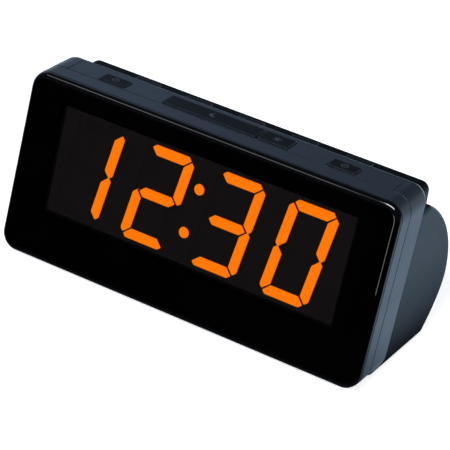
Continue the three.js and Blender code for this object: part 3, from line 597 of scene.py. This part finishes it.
def lens_material(name):
    """Polished acrylic: smoked and clear over the display, backed with black everywhere else."""
    n = Nodes(name)
    under_the_ink = 1.5
    across, up, _ = face_coordinates(n)
    inside_x = n.math("LESS_THAN", n.math("ABSOLUTE", across), (WINDOW_WIDTH / 2 + under_the_ink) * MM)
    inside_z = n.math("LESS_THAN", n.math("ABSOLUTE", up), (WINDOW_HEIGHT / 2 + under_the_ink) * MM)
    clear = n.math("MULTIPLY", inside_x, inside_z)
    black = n.ramp(n.noise(40, 2), [(0.3, (0.0002, 0.0002, 0.0003)), (0.7, (0.0005, 0.0005, 0.0006))])
    n.feed("Base Color", black)
    n.feed("Roughness", n.between(n.noise(6, 4), 0.02, 0.05))
    smoke = n.add("ShaderNodeBsdfTransparent")
    smoke.inputs["Color"].default_value = (0.62, 0.6, 0.6, 1)
    polish = n.add("ShaderNodeBsdfGlossy")
    polish.inputs["Roughness"].default_value = 0.03
    fresnel = n.add("ShaderNodeFresnel")
    fresnel.inputs["IOR"].default_value = 1.45
    facing_out = n.math("SUBTRACT", 1.0, n.add("ShaderNodeNewGeometry").outputs["Backfacing"])
    shine = n.math("MULTIPLY", fresnel.outputs["Fac"], facing_out)
    window = n.mix_shaders(shine, smoke.outputs["BSDF"], polish.outputs["BSDF"])
    n.mix_shaders(clear, n.shader.outputs["BSDF"], window)
    return n.material


def print_ink(name):
    """Black ink on the back of the lens, with the faint screen of the printing."""
    n = Nodes(name)
    black = n.ramp(n.noise(0.6, 2), [(0.3, (0.0008, 0.0008, 0.0009)), (0.7, (0.002, 0.002, 0.002))])
    n.feed("Base Color", black)
    n.feed("Roughness", n.between(n.noise(3, 2), 0.5, 0.7))
    n.bump(n.noise(0.4, 2), 0.005)
    return n.material


def amber_light(name, colour, strength):
    """Diffuser lit from behind: a touch deeper in colour and dimmer along its edges."""
    n = Nodes(name)
    core = n.add("ShaderNodeAttribute", attribute_name="core").outputs["Fac"]
    glow = n.ramp(core, [(0.0, scaled(colour, 0.8)), (0.5, colour), (1.0, scaled(colour, 1.03))])
    n.feed("Base Color", (0.25, 0.06, 0.0, 1))
    n.feed("Roughness", 0.6)
    n.feed("Emission Color", glow)
    n.feed("Emission Strength", n.between(n.noise(2.2, 2), strength * 0.94, strength * 1.06))
    return n.material


def painted_key_shade(n):
    """Painted shade: the crown of a key keeps only part of its light, so that its rounded edges stand out
    lighter as a painted highlight.
    """
    # painted highlight on the rounded edges, painted shade on the crown
    rim = n.math("MINIMUM", n.math("MULTIPLY", n.edges(0.8), 30.0), 1.0)
    return n.between(rim, 0.34, 1.9)


def reflector(name):
    """Matt moulded frame round the segments, lifted a little by a faint painted glow that stands in for the
    light falling on it.
    """
    n = Nodes(name)
    painted_glow_mottle = n.noise(14, 3)
    n.feed("Base Color", (0.006, 0.005, 0.005, 1))
    n.feed("Roughness", n.between(n.noise(0.5, 2), 0.75, 0.95))
    n.feed("Specular IOR Level", 0.1)
    # painted glow: the frame is no lamp; this faint emission stands in for the light that falls on it
    n.feed("Emission Color", n.ramp(painted_glow_mottle, [(0.3, (0.0145, 0.0120, 0.0128)), (0.7, (0.0160, 0.0134, 0.0142))]))
    n.feed("Emission Strength", 1.0)
    n.bump(n.noise(0.5, 2), 0.01)
    return n.material


CASE_COLOUR = (0.010, 0.015, 0.024)
COOL_SHEEN = (0.7, 0.86, 1.0)
# The case and the battery door carry painted shade behind the slab.
case_plastic = plastic("case_plastic", CASE_COLOUR, 0.34, edge=0.08, tint=COOL_SHEEN, shade=painted_rear_shade)
door_plastic = plastic("door_plastic", CASE_COLOUR, 0.4, tint=COOL_SHEEN, shade=painted_rear_shade)
# The keys carry painted shade on their crowns, which leaves their edges as a painted highlight.
key_plastic = plastic("key_plastic", (0.009, 0.012, 0.016), 0.36, grain_mm=0.3, variation=0.06,
                      tint=COOL_SHEEN, shade=painted_key_shade)
dark_plastic = plastic("dark_plastic", (0.010, 0.010, 0.011), 0.55, grain_mm=0.4)
reflector_plastic = reflector("reflector_plastic")
chip_plastic = plastic("chip_plastic", (0.013, 0.013, 0.014), 0.5, grain_mm=0.15, grain_depth=0.02)
black_sleeve = plastic("black_sleeve", (0.008, 0.008, 0.009), 0.38, grain_mm=0.8, grain_depth=0.01)
red_sleeve = plastic("red_sleeve", (0.33, 0.012, 0.010), 0.38, grain_mm=0.8, grain_depth=0.01)
ferrite = plastic("ferrite", (0.035, 0.036, 0.039), 0.5, grain_mm=0.9, grain_depth=0.03)
legend_ink = plastic("legend_ink", (0.042, 0.046, 0.055), 0.5, grain_mm=0.2, grain_depth=0.004)
lens_acrylic = lens_material("lens_acrylic")
lens_ink = print_ink("lens_ink")
lit_amber = amber_light("lit_amber", (1.0, 0.195, 0.0), 2.6)
steel = metal("steel", (0.42, 0.43, 0.45), 0.32)
tinned_steel = metal("tinned_steel", (0.62, 0.63, 0.64), 0.25, (1, 8, 1))
board_mask = circuit_board("board_mask")
foot_rubber = rubber("foot_rubber")
pulp = cone_paper("pulp")
ribbon_cable = ribbon("ribbon_cable")


SHARP_ANGLE = math.radians(32)


def dress(obj, material, body="case", replaces=()):
    """Gives a new piece smooth shading, its material and its body, and hides the CAD nodes it stands for."""
    obj.data.shade_smooth()
    obj.data.set_sharp_from_angle(angle=SHARP_ANGLE)
    obj.modifiers.new("normals", "WEIGHTED_NORMAL").keep_sharp = True
    obj.data.materials.clear()
    obj.data.materials.append(material)
    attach(obj, body)
    if replaces:
        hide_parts(*replaces)


# ---------- lens and front frame

def make_lens():
    """The acrylic front with its rounded edge, and the black print behind it."""
    steps = 12
    levels = [(LENS_MARGIN + LENS_EDGE_REACH + 0.4, 0.0)]
    for i in range(steps + 1):
        turn = math.radians(90 * i / steps)
        margin = LENS_MARGIN + LENS_EDGE_REACH * (1 - math.sin(turn))
        levels.append((margin, LENS_EDGE_DEPTH * (1 - math.cos(turn))))
    levels.append((LENS_MARGIN, LENS_BACK))
    lens = slab_layer("lens_panel", levels)
    dress(lens, lens_acrylic, replaces=("front_lens",))

    ink = prism("lens_print", rounded_rectangle(-90, 90, -34, 34, 4), "face",
                LENS_BACK + 0.02, LENS_BACK + 0.12)
    half_width, half_height = WINDOW_WIDTH / 2, WINDOW_HEIGHT / 2
    window = prism(
        "window", rounded_rectangle(-half_width, half_width, -half_height, half_height, 0.6),
        "face", LENS_BACK - PAST, LENS_BACK + PAST,
    )
    dress(cut(ink, window), lens_ink)


def screw_places():
    return [(x, z) for x in (-SCREW_X, SCREW_X) for z in SCREW_HEIGHTS]


def screw_post(x, z):
    """A post that a case screw bites into, with a rib to the side wall."""
    start = layer_y(LENS_BACK + GAP + BULKHEAD / 2, z)
    wall_x = math.copysign(HALF_WIDTH - 1, x)
    rib = block("rib", min(x, wall_x), max(x, wall_x), start + 1, start + 7, z - 0.8, z + 0.8)
    return joined(prism("post", circle(x, z, POST_RADIUS), "y", start, SCREW_SEAT_Y - GAP), rib)


def make_front_frame():
    front = LENS_BACK + GAP
    body = slab_layer("front_frame", [(0.25, front), (0.07, front + 0.08), (0, front + 0.25),
                                      (0, PARTING - 0.15), (0.15, PARTING)])
    hollow = slab_layer("hollow", [(WALL, front + BULKHEAD), (WALL, PARTING + PAST)])
    width, height = [side / 2 + GAP for side in REFLECTOR_SIZE]
    opening = prism("opening", rectangle(-width, width, -height, height), "face", -20, 20)
    joined(cut(body, hollow, opening), *[screw_post(x, z) for x, z in screw_places()])
    bores = [prism("bore", circle(x, z, SCREW_SHANK_WAY), "y", SCREW_SEAT_Y - 16, SCREW_SEAT_Y + PAST)
             for x, z in screw_places()]
    dress(cut(body, *bores), case_plastic, replaces=("front_cabinet",))


# ---------- display

DIGIT_HEIGHT, DIGIT_WIDTH, DIGIT_PITCH = 45.7, 24.1, 35.95
STROKE, STROKE_GAP, TIP_SHIFT = 4.7, 0.45, 0.8
SLANT = math.tan(math.radians(7.4))
DIGIT_BLOCK = (-2.55, -0.15)  # middle of the digits, across and above the window's middle
COLON_RADIUS, COLON_RISE = 2.5, 10.55
SHOWN_TIME = ("bc", "abged", "abgcd", "abcdef")  # the lit segments: 12:30

# Margin, distance behind the bar's front and brightness of each ring of a lit bar
BAR_RINGS = ((0.7, 0.0, 1.0), (0.35, 0.0, 0.7), (0.06, 0.02, 0.15), (0.0, 0.12, 0.0))


def segment_outline(letter):
    """One bar with pointed ends, its outer side longer than its inner side."""
    x, z = (DIGIT_WIDTH - STROKE) / 2, (DIGIT_HEIGHT - STROKE) / 2
    x0, z0, x1, z1, outward = {
        "a": (-x, z, x, z, 1), "b": (x, 0, x, z, -1), "c": (x, -z, x, 0, -1), "d": (-x, -z, x, -z, -1),
        "e": (-x, -z, -x, 0, 1), "f": (-x, 0, -x, z, 1), "g": (-x, 0, x, 0, 0),
    }[letter]
    start, end = Vector((x0, z0)), Vector((x1, z1))
    along = (end - start).normalized()
    across = Vector((-along.y, along.x))
    half = STROKE / 2
    tip = STROKE_GAP / math.sqrt(2) + STROKE_GAP / 2
    shift = TIP_SHIFT * abs(outward)
    lower = tip + half - (2 * shift if outward < 0 else 0)
    upper = tip + half - (2 * shift if outward > 0 else 0)
    corners = [
        (start, tip - shift, outward * TIP_SHIFT), (start, lower, -half), (end, -lower, -half),
        (end, shift - tip, outward * TIP_SHIFT), (end, -upper, half), (start, upper, half),
    ]
    return [tuple(origin + along * ahead + across * aside) for origin, ahead, aside in corners]


def digit_centre(index):
    return DIGIT_BLOCK[0] + (index - 1.5) * DIGIT_PITCH


def on_face(outline, centre_x):
    """Slants an outline and moves it to its digit."""
    return [(centre_x + a + SLANT * b, DIGIT_BLOCK[1] + b) for a, b in outline]


def lit_bar(name, outline):
    """A bar of light guide whose front carries the brightness from its edge to its core."""
    levels = [(margin, SEGMENT_FRONT + behind, value) for margin, behind, value in BAR_RINGS]
    levels.append((0.0, SEGMENT_BACK, 0.0))
    bar = loft(name, [[AXES["face"](a, b, depth) for a, b in drawn_in(outline, margin)]
                      for margin, depth, _ in levels])
    core = bar.data.attributes.new("core", "FLOAT", "POINT")
    brightness = [value for _, _, value in levels for _ in outline]
    core.data.foreach_set("value", brightness)
    return bar


def make_display():
    """The lit bars, and the plate of light guide behind them."""
    bars = []
    for index, letters in enumerate(SHOWN_TIME):
        for letter in letters:
            outline = on_face(softened(segment_outline(letter), 0.55), digit_centre(index))
            bars.append(lit_bar(f"digit_{index + 1}_segment_{letter}", outline))
    middle = (digit_centre(1) + digit_centre(2)) / 2
    for name, side in (("colon_upper", 1), ("colon_lower", -1)):
        centre = (middle + SLANT * side * COLON_RISE, DIGIT_BLOCK[1] + side * COLON_RISE)
        bars.append(lit_bar(name, circle(*centre, COLON_RADIUS, 28)))
    for bar in bars:
        dress(bar, lit_amber)

    width, height = [side / 2 - 2 for side in REFLECTOR_SIZE]
    plate = prism("light_guide_plate", rounded_rectangle(-width, width, -height, height, 1.0),
                  "face", GUIDE_FRONT, GUIDE_BACK, 0.1, 0.1)
    dress(plate, lit_amber, replaces=("display_light_guide",))


# ---------- keys

def key_socket(x0, x1, y0, y1):
    """The outline of the opening round a key."""
    return rounded_rectangle(x0 - GAP, x1 + GAP, y0 - GAP, y1 + GAP, KEY_SOCKET_CORNER, 5)


def make_key(node, cap_box, top, flange_box, flange_z, stem_xy):
    """A cap with a rounded crown, its retaining flange and the stem that works the switch."""
    outline = rounded_rectangle(*cap_box, KEY_CORNER, 5)
    cap = prism(node + "_cap", outline, "z", flange_z[0], top, 0.0, KEY_CROWN_ROUND, 5)
    flange = block("flange", *flange_box, *flange_z)
    stem = prism("stem", circle(*stem_xy, KEY_STEM_RADIUS, 20), "z", KEY_STEM_END_Z, flange_z[0] + 0.5, 0.3)
    joined(cap, flange, stem)
    dress(cap, key_plastic, body=node + "_body", replaces=(node,))


def rear_key_places():
    return [(i - (REAR_KEY_COUNT - 1) // 2) * REAR_KEY_PITCH for i in range(REAR_KEY_COUNT)]


def rear_key_box(x):
    half_x, half_y = REAR_KEY_HALF
    return (x - half_x, x + half_x, REAR_KEY_Y - half_y, REAR_KEY_Y + half_y)


def make_keys():
    """The front row in the button panel and the rear row in the shoulder."""
    for node, (x0, x1, depth, left, right) in FRONT_KEYS.items():
        back = KEY_FRONT_Y + depth
        flange_z = (FRONT_FLANGE_BOTTOM_Z, PANEL_BOTTOM_Z - GAP)
        flange_box = (x0 - left, x1 + right, KEY_FRONT_Y, back + FLANGE)
        stem_xy = ((x0 + x1) / 2, KEY_FRONT_Y + depth / 2)
        make_key(node, (x0, x1, KEY_FRONT_Y, back), DECK_Z + KEY_PROUD, flange_box, flange_z, stem_xy)
    flange_top = REAR_DECK_Z - WALL - GAP
    for i, x in enumerate(rear_key_places()):
        x0, x1, y0, y1 = rear_key_box(x)
        make_key(f"rear_key_{i + 1}", (x0, x1, y0, y1), REAR_DECK_Z + KEY_PROUD,
                 (x0 - FLANGE, x1 + FLANGE, y0 - FLANGE, y1),
                 (flange_top - REAR_FLANGE_THICKNESS, flange_top), (x, REAR_KEY_Y))


def legend(name, outline, key, hole=None):
    """A mark printed on a front key, as a thin film of ink on its crown."""
    top = DECK_Z + KEY_PROUD
    mark = prism(name, outline, "z", top - MARK_DEPTH, top + MARK_PROUD)
    if hole:
        cut(mark, prism("hole", hole, "z", top - PAST, top + PAST))
    dress(mark, legend_ink, body=key + "_body")


def make_legends():
    """A ring with a hand for the alarms, a moon for snooze and a sun for the dimmer."""
    for key in ("alarm_one_key", "alarm_two_key"):
        x0, x1, depth = FRONT_KEYS[key][:3]
        x, y = (x0 + x1) / 2, KEY_FRONT_Y + depth / 2
        legend(key + "_ring", circle(x, y, RING_RADIUS, 28), key, circle(x, y, RING_HOLE_RADIUS, 28))
        legend(key + "_hand", rectangle(x - 0.2, x + 0.2, y - 0.1, y + 0.9), key)
    middle_y = KEY_FRONT_Y + MIDDLE_KEY_DEPTH / 2
    bite_x, bite_y, bite_radius = MOON_BITE
    legend("snooze_moon", circle(MOON_X, middle_y, MOON_RADIUS, 32), "snooze_key",
           circle(MOON_X + bite_x, middle_y + bite_y, bite_radius, 32))
    sun = Vector((SUN_X, middle_y))
    legend("dimmer_sun", circle(*sun, SUN_RADIUS, 24), "dimmer_key")
    for i in range(RAY_COUNT):
        turn = math.radians(360 / RAY_COUNT * i)
        along = Vector((math.cos(turn), math.sin(turn)))
        side = Vector((-along.y, along.x)) * RAY_HALF_WIDTH
        near, far = sun + along * RAY_FROM, sun + along * RAY_TO
        ray = [tuple(near - side), tuple(far - side), tuple(far + side), tuple(near + side)]
        legend(f"dimmer_ray_{i + 1}", ray, "dimmer_key")


def make_panel():
    """The insert that the front keys stand in."""
    front = layer_y(PARTING, DECK_Z) + GAP
    outline = rounded_rectangle(-PANEL_HALF_WIDTH, PANEL_HALF_WIDTH, front, PANEL_BACK_Y, 0.6, 4)
    plate = prism("deck_panel", outline, "z", PANEL_BOTTOM_Z, DECK_Z, 0.0, 0.15, 3)
    for x0, x1, depth in FRONT_OPENINGS:
        hole = key_socket(x0, x1, KEY_FRONT_Y, KEY_FRONT_Y + depth)
        cut(plate, prism("socket", hole, "z", PANEL_BOTTOM_Z - PAST, DECK_Z + PAST))
    dress(plate, case_plastic, replaces=("button_panel",))


# ---------- rear shell

def drum_outline():
    """The drum's section, from its flat base round the back to its straight upper slope."""
    outline = [(-24.0, BASE_Z), (BASE_BACK_Y, BASE_Z)]
    outline += bezier(outline[-1], (31.8, 7.0), (DRUM_BACK[0], 17.4), DRUM_BACK, 22)
    outline += bezier(DRUM_BACK, (DRUM_BACK[0], 45.9), (27.1, 62.5), DRUM_TOP, 26)
    return outline + [(-12.0, DRUM_TOP[1])]


def over_door(margin, z0, z1):
    """A block above the battery door, larger than it by a margin all round."""
    half = DOOR_SIZE / 2 + margin
    return block("over_door", DOOR_X - half, DOOR_X + half, DOOR_Y - half, DOOR_Y + half, z0, z1)


def shell_body():
    """The slab's rear half, the drum and the shoulder as one hollow body."""
    rounding = [(SLAB_BACK_ROUND * (1 - math.cos(t)), SLAB_BACK - SLAB_BACK_ROUND * (1 - math.sin(t)))
                for t in [math.radians(90 * i / 8) for i in range(9)]]
    front = PARTING + GAP
    slab = slab_layer("rear_shell", [(0.15, front), (0, front + 0.15)] + rounding)
    drum = prism("drum", drum_outline(), "x", -DRUM_HALF_WIDTH, DRUM_HALF_WIDTH,
                 DRUM_END_ROUND, DRUM_END_ROUND, 6)
    outline = rounded_rectangle(-SHOULDER_HALF_WIDTH, SHOULDER_HALF_WIDTH, 50, REAR_DECK_Z,
                                SHOULDER_CORNER, 12)
    shoulder = prism("shoulder", outline, "y", -10, SHOULDER_Y, 0.0, SHOULDER_ROUND, 6)
    body = joined(slab, drum, shoulder)
    hollow_slab = slab_layer("hollow", [(WALL, PARTING - 20), (WALL, SLAB_BACK - WALL)])
    inside = DRUM_HALF_WIDTH - WALL
    hollow_drum = prism("hollow", drawn_in(drum_outline(), WALL), "x", -inside, inside)
    inside = SHOULDER_HALF_WIDTH - WALL
    hollow_shoulder = block("hollow", -inside, inside, -14, SHOULDER_Y - WALL, 52, REAR_DECK_Z - WALL)
    return cut(body, hollow_slab, hollow_drum, hollow_shoulder)


def shell_fixtures():
    """Collar, towers and ledge, trimmed to the outside of the case."""
    outside = 50
    collar = prism("fixtures", circle(0, SPEAKER_Z, SPEAKER_RADIUS + COLLAR_WALL, 56), "y",
                   SPEAKER_Y - 3, outside)
    towers = [prism("tower", circle(x, z, TOWER_RADIUS), "y", SCREW_SEAT_Y, outside)
              for x, z in screw_places()]
    fixtures = joined(collar, *towers)
    cut(
        fixtures,
        prism("seat", circle(0, SPEAKER_Z, SPEAKER_RADIUS + GAP, 56), "y", SPEAKER_Y - 4, SPEAKER_Y + GAP),
        prism("sound_way", circle(0, SPEAKER_Z, SPEAKER_RADIUS - 1.5, 56), "y", SPEAKER_Y, outside),
    )
    ledge = block("ledge", -LEDGE_HALF_WIDTH, LEDGE_HALF_WIDTH, -16, -4, FRONT_FLANGE_BOTTOM_Z, DECK_Z - 1)
    solid_drum = prism("trim", drawn_in(drum_outline(), 0.3), "x", -DRUM_HALF_WIDTH, DRUM_HALF_WIDTH)
    return joined(combined(fixtures, solid_drum, "INTERSECT"), ledge)


def shell_openings():
    """The cutters for everything that stands in the shell or passes through it."""
    front = -30
    yield over_door(-1, BASE_Z - PAST, BATTERY_BOX_TOP_Z - BATTERY_BOX_WALL)
    yield over_door(GAP, BASE_Z - PAST, BASE_Z + DOOR_THICKNESS + GAP)
    yield block("panel_seat", -PANEL_HALF_WIDTH - GAP, PANEL_HALF_WIDTH + GAP, front, PANEL_BACK_Y + GAP,
                PANEL_BOTTOM_Z - GAP, DECK_Z + PAST)
    for x0, x1, depth in FRONT_OPENINGS:
        room = FLANGE + FLANGE_PLAY
        yield block("flange_room", x0 - room, x1 + room, front, KEY_FRONT_Y + depth + room,
                    FRONT_FLANGE_BOTTOM_Z - PAST, DECK_Z)
    for x in rear_key_places():
        yield prism("socket", key_socket(*rear_key_box(x)), "z",
                    REAR_DECK_Z - WALL - PAST, REAR_DECK_Z + PAST)
    for x, z in screw_places():
        yield prism("head_way", circle(x, z, SCREW_HEAD_WAY), "y", SCREW_SEAT_Y + TOWER_FLOOR, FAR)
        yield prism("shank_way", circle(x, z, SCREW_SHANK_WAY), "y",
                    SCREW_SEAT_Y - PAST, SCREW_SEAT_Y + TOWER_FLOOR + PAST)
    for step in range(-5, 6):
        rise = step * SLOT_PITCH
        half = math.sqrt((SPEAKER_RADIUS - 3) ** 2 - rise ** 2)
        low = SPEAKER_Z + rise - SLOT_HEIGHT / 2
        slot = rounded_rectangle(-half, half, low, low + SLOT_HEIGHT, 0.8, 5)
        yield prism("slot", slot, "y", SPEAKER_Y + 2, FAR)
    for x, z, radius in (POWER_JACK, AUDIO_JACK):
        yield prism("jack_hole", circle(x, z, radius + GAP), "y", 28, FAR)
    yield prism("aerial_hole", circle(AERIAL[0], AERIAL[1], AERIAL[2] + 0.6), "y", 20, FAR)
    for x, y in FEET:
        yield prism("foot_recess", circle(x, y, FOOT_RADIUS + GAP), "z", BASE_Z - PAST, BASE_Z + FOOT_RECESS)


def make_rear_shell():
    """The rear cabinet with its collar, towers, ledge and battery box."""
    battery_box = over_door(BATTERY_BOX_WALL, BASE_Z + 0.4, BATTERY_BOX_TOP_Z)
    shell = joined(shell_body(), shell_fixtures(), battery_box)
    cut(shell, *shell_openings())
    dress(shell, case_plastic, replaces=("rear_cabinet",))


# ---------- small fittings

def make_door():
    """The battery door, with a finger grip and four grooves in its outside."""
    half = DOOR_SIZE / 2
    outline = rounded_rectangle(DOOR_X - half, DOOR_X + half, DOOR_Y - half, DOOR_Y + half, 0.8, 4)
    door = prism("battery_door_plate", outline, "z", BASE_Z, BASE_Z + DOOR_THICKNESS, 0.25, 0.1)
    left, right = DOOR_X - 6, DOOR_X + 6
    grip_y = DOOR_Y - half + 2
    cut(door, prism("grip", rounded_rectangle(left, right, grip_y, grip_y + 3, 1.0), "z",
                    BASE_Z - PAST, BASE_Z + 0.9))
    for i in range(4):
        groove_y = grip_y + 6 + i * 1.6
        cut(door, prism("groove", rounded_rectangle(left, right, groove_y, groove_y + 0.6, 0.28, 3), "z",
                        BASE_Z - PAST, BASE_Z + 0.35))
    dress(door, door_plastic, body="door", replaces=("battery_door",))


def make_feet():
    for i, (x, y) in enumerate(FEET):
        foot = prism(f"foot_pad_{i + 1}", circle(x, y, FOOT_RADIUS, 40), "z", 0, 1.5, 0.4, 0.1)
        cut(foot, prism("dimple", circle(x, y, 1.6, 24), "z", -PAST, 0.35))
        dress(foot, foot_rubber, replaces=(f"rubber_foot_{i + 1}",))


def make_screws():
    """Case screws with cross recesses, seen down their towers."""
    head_front = SCREW_SEAT_Y + TOWER_FLOOR + GAP
    head_back = head_front + 2.2
    for i, (x, z) in enumerate(screw_places()):
        head = prism(f"screw_{i + 1}", circle(x, z, SCREW_HEAD_RADIUS, 40), "y",
                     head_front, head_back, 0.2, 0.9, 6)
        joined(head, prism("shank", circle(x, z, SCREW_SHANK_RADIUS, 24), "y",
                           SCREW_SEAT_Y - 12, head_front + 0.5, 0.7))
        for wide, tall in ((1.8, 0.35), (0.35, 1.8)):
            cut(head, block("cross", x - wide, x + wide, head_back - 0.9, head_back + PAST,
                            z - tall, z + tall))
        dress(head, steel, replaces=(f"case_screw_{i + 1}",))


def make_jacks():
    """The two sockets in the back, the pin of one and the contact ring of the other."""
    for node, (x, z, radius) in (("power_jack", POWER_JACK), ("audio_jack", AUDIO_JACK)):
        half = radius + 0.6
        socket = block(node + "_socket", x - half, x + half, 18, 30, 9.7, z + half)
        joined(socket, prism("nose", circle(x, z, radius, 40), "y", 29.5, 34.8, 0.0, 0.5, 5))
        cut(socket, prism("bore", circle(x, z, radius * 0.6, 32), "y", 22, 45))
        dress(socket, dark_plastic, replaces=(node,))
    x, z, radius = POWER_JACK
    pin = prism("power_jack_pin", circle(x, z, radius * 0.22, 24), "y", 22.2, 33.2, 0.0, 0.5)
    dress(pin, tinned_steel)
    x, z, radius = AUDIO_JACK
    ring = prism("audio_jack_ring", circle(x, z, radius * 0.58, 32), "y", 32.4, 33.6)
    cut(ring, prism("ring_bore", circle(x, z, radius * 0.42, 32), "y", 32, 34))
    dress(ring, tinned_steel)


# ---------- carried-over parts

CARRIED = (
    (reflector_plastic, ["display_reflector"]),
    (board_mask, ["display_board", "key_board", "main_board"]),
    (chip_plastic, ["display_driver_chip", "radio_chip", "controller_chip"]),
    (chip_plastic, [f"key_switch_{i + 1}" for i in range(9)]),
    (tinned_steel, ["backup_cell", "crystal_can"]),
    (steel, ["cell_contact", "speaker_basket"]),
    (pulp, ["speaker_cone"]),
    (ferrite, ["speaker_magnet"]),
    (black_sleeve, ["filter_capacitor_1", "filter_capacitor_2", "speaker_wire_black", "aerial_wire"]),
    (red_sleeve, ["speaker_wire_red"]),
    (ribbon_cable, ["display_cable"]),
)
ROUND_PARTS = ("speaker_wire_red", "speaker_wire_black", "aerial_wire")


def dress_carried_part(node, material):
    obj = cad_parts[node]
    obj.data.materials.clear()
    obj.data.materials.append(material)
    obj.data.shade_smooth()
    obj.modifiers.new("weld", "WELD").merge_threshold = 0.01 * MM
    if node in ROUND_PARTS:
        rounding = obj.modifiers.new("round", "SUBSURF")
        rounding.levels = 2
        rounding.render_levels = 2
    else:
        edges = obj.modifiers.new("edges", "EDGE_SPLIT")
        edges.split_angle = math.radians(35)


def dress_carried_parts():
    """Materials for the CAD solids that stay, with the round ones smoothed."""
    for material, nodes in CARRIED:
        for node in nodes:
            dress_carried_part(node, material)


# ---------- studio

FLOOR_REACH = 6000
FLOOR_Z = -0.05
WORLD_TONES = ((0.0, (0.055, 0.07, 0.09)), (0.8, (0.07, 0.085, 0.11)), (0.97, (0.5, 0.62, 0.86)))


def pale_floor():
    """A pale floor. Reflections see it bright behind the clock and dark in front of it.
    From below it is clear, so that the underside can be looked at."""
    n = Nodes("pale_floor")
    n.feed("Base Color", n.ramp(n.noise(60, 3), [(0.3, (0.80, 0.80, 0.81)), (0.7, (0.86, 0.86, 0.87))]))
    n.feed("Roughness", 0.9)
    n.feed("Specular IOR Level", 0.1)
    n.feed("Emission Color", (1, 1, 1, 1))
    n.feed("Emission Strength", 0.72)
    depth = n.add("ShaderNodeMapRange", interpolation_type="SMOOTHSTEP")
    n.link(n.along("Y", n.place), depth.inputs["Value"])
    depth.inputs["From Min"].default_value = -0.06
    depth.inputs["From Max"].default_value = 0.03
    seen = n.add("ShaderNodeEmission")
    n.link(n.mix(depth.outputs["Result"], (0.0, 0.0, 0.0), (0.66, 0.86, 1.08)), seen.inputs["Color"])
    in_reflection = n.add("ShaderNodeLightPath").outputs["Is Glossy Ray"]
    from_above = n.mix_shaders(in_reflection, n.shader.outputs["BSDF"], seen.outputs["Emission"])
    below = n.add("ShaderNodeNewGeometry").outputs["Backfacing"]
    n.mix_shaders(below, from_above, n.add("ShaderNodeBsdfTransparent").outputs["BSDF"])
    return n.material


def make_floor():
    outline = rectangle(-FLOOR_REACH, FLOOR_REACH, -FLOOR_REACH, FLOOR_REACH)
    floor = new_object("studio_floor", [(x, y, FLOOR_Z) for x, y in outline], [(0, 1, 2, 3)])
    floor.data.materials.append(pale_floor())


def softbox(name, place, target, size, radiance, in_reflections=True):
    """A rectangular light that the camera doesn't see. Places are in metres."""
    data = bpy.data.lights.new(name, "AREA")
    data.shape = "RECTANGLE"
    data.size, data.size_y = size
    data.energy = radiance * math.pi * size[0] * size[1]
    light = bpy.data.objects.new(name, data)
    bpy.context.scene.collection.objects.link(light)
    light.location = place
    light.rotation_euler = (Vector(target) - Vector(place)).to_track_quat("-Z", "Y").to_euler()
    light.visible_camera = False
    light.visible_glossy = in_reflections


def make_lights():
    """The first three draw the shine along the lens's edge; the others model the case."""
    softbox("front_softbox", (0.02, -0.76, 0.79), (0, -0.03, 0.085), (0.62, 0.19), 20.0)
    softbox("front_softbox_left", (-0.53, -0.70, 0.76), (0, -0.03, 0.085), (0.5, 0.15), 2.5)
    softbox("low_card", (0.052, -0.31, 0.045), (0.09, -0.03, 0.045), (0.03, 0.09), 4.0)
    softbox("side_softbox", (1.3, -0.1, 0.35), (0, 0, 0.045), (0.7, 0.5), 9.0, in_reflections=False)
    softbox("rear_softbox", (0.25, 1.3, 0.16), (0, 0.02, 0.045), (0.9, 0.3), 3.0)


def make_world():
    """White to the camera; to everything else a dim room with a cool glow behind the clock."""
    world = bpy.data.worlds.new("studio")
    bpy.context.scene.world = world
    n = Tree(world)
    toward_glow = Vector((-0.8, 0.55, 0.25)).normalized()
    share = n.dot(n.add("ShaderNodeTexCoord").outputs["Generated"], toward_glow)
    to_camera = n.add("ShaderNodeLightPath").outputs["Is Camera Ray"]
    seen = n.mix(to_camera, n.ramp(share, WORLD_TONES), (1.0, 1.0, 1.0))
    n.link(seen, n.tree.nodes["Background"].inputs["Color"])


def make_camera():
    """Looks down on the clock from its right, with a long lens, as solved from the photograph."""
    data = bpy.data.cameras.new("camera")
    data.sensor_width = 36.0
    data.lens = 175.45
    data.clip_end = 50
    camera = bpy.data.objects.new("camera", data)
    bpy.context.scene.collection.objects.link(camera)
    right = Vector((0.84990, 0.51185, 0.12519))
    up = Vector((-0.33822, 0.34772, 0.87447))
    turn = Matrix((right, up, right.cross(up))).transposed().to_4x4()
    camera.matrix_world = Matrix.Translation((0.39671, -0.77346, 0.49175)) @ turn
    bpy.context.scene.camera = camera


make_lens()
make_front_frame()
make_display()
make_panel()
make_keys()
make_legends()
make_rear_shell()
make_door()
make_feet()
make_screws()
make_jacks()
dress_carried_parts()
make_floor()
make_lights()
make_world()
make_camera()
bpy.context.scene.view_settings.view_transform = "Standard"
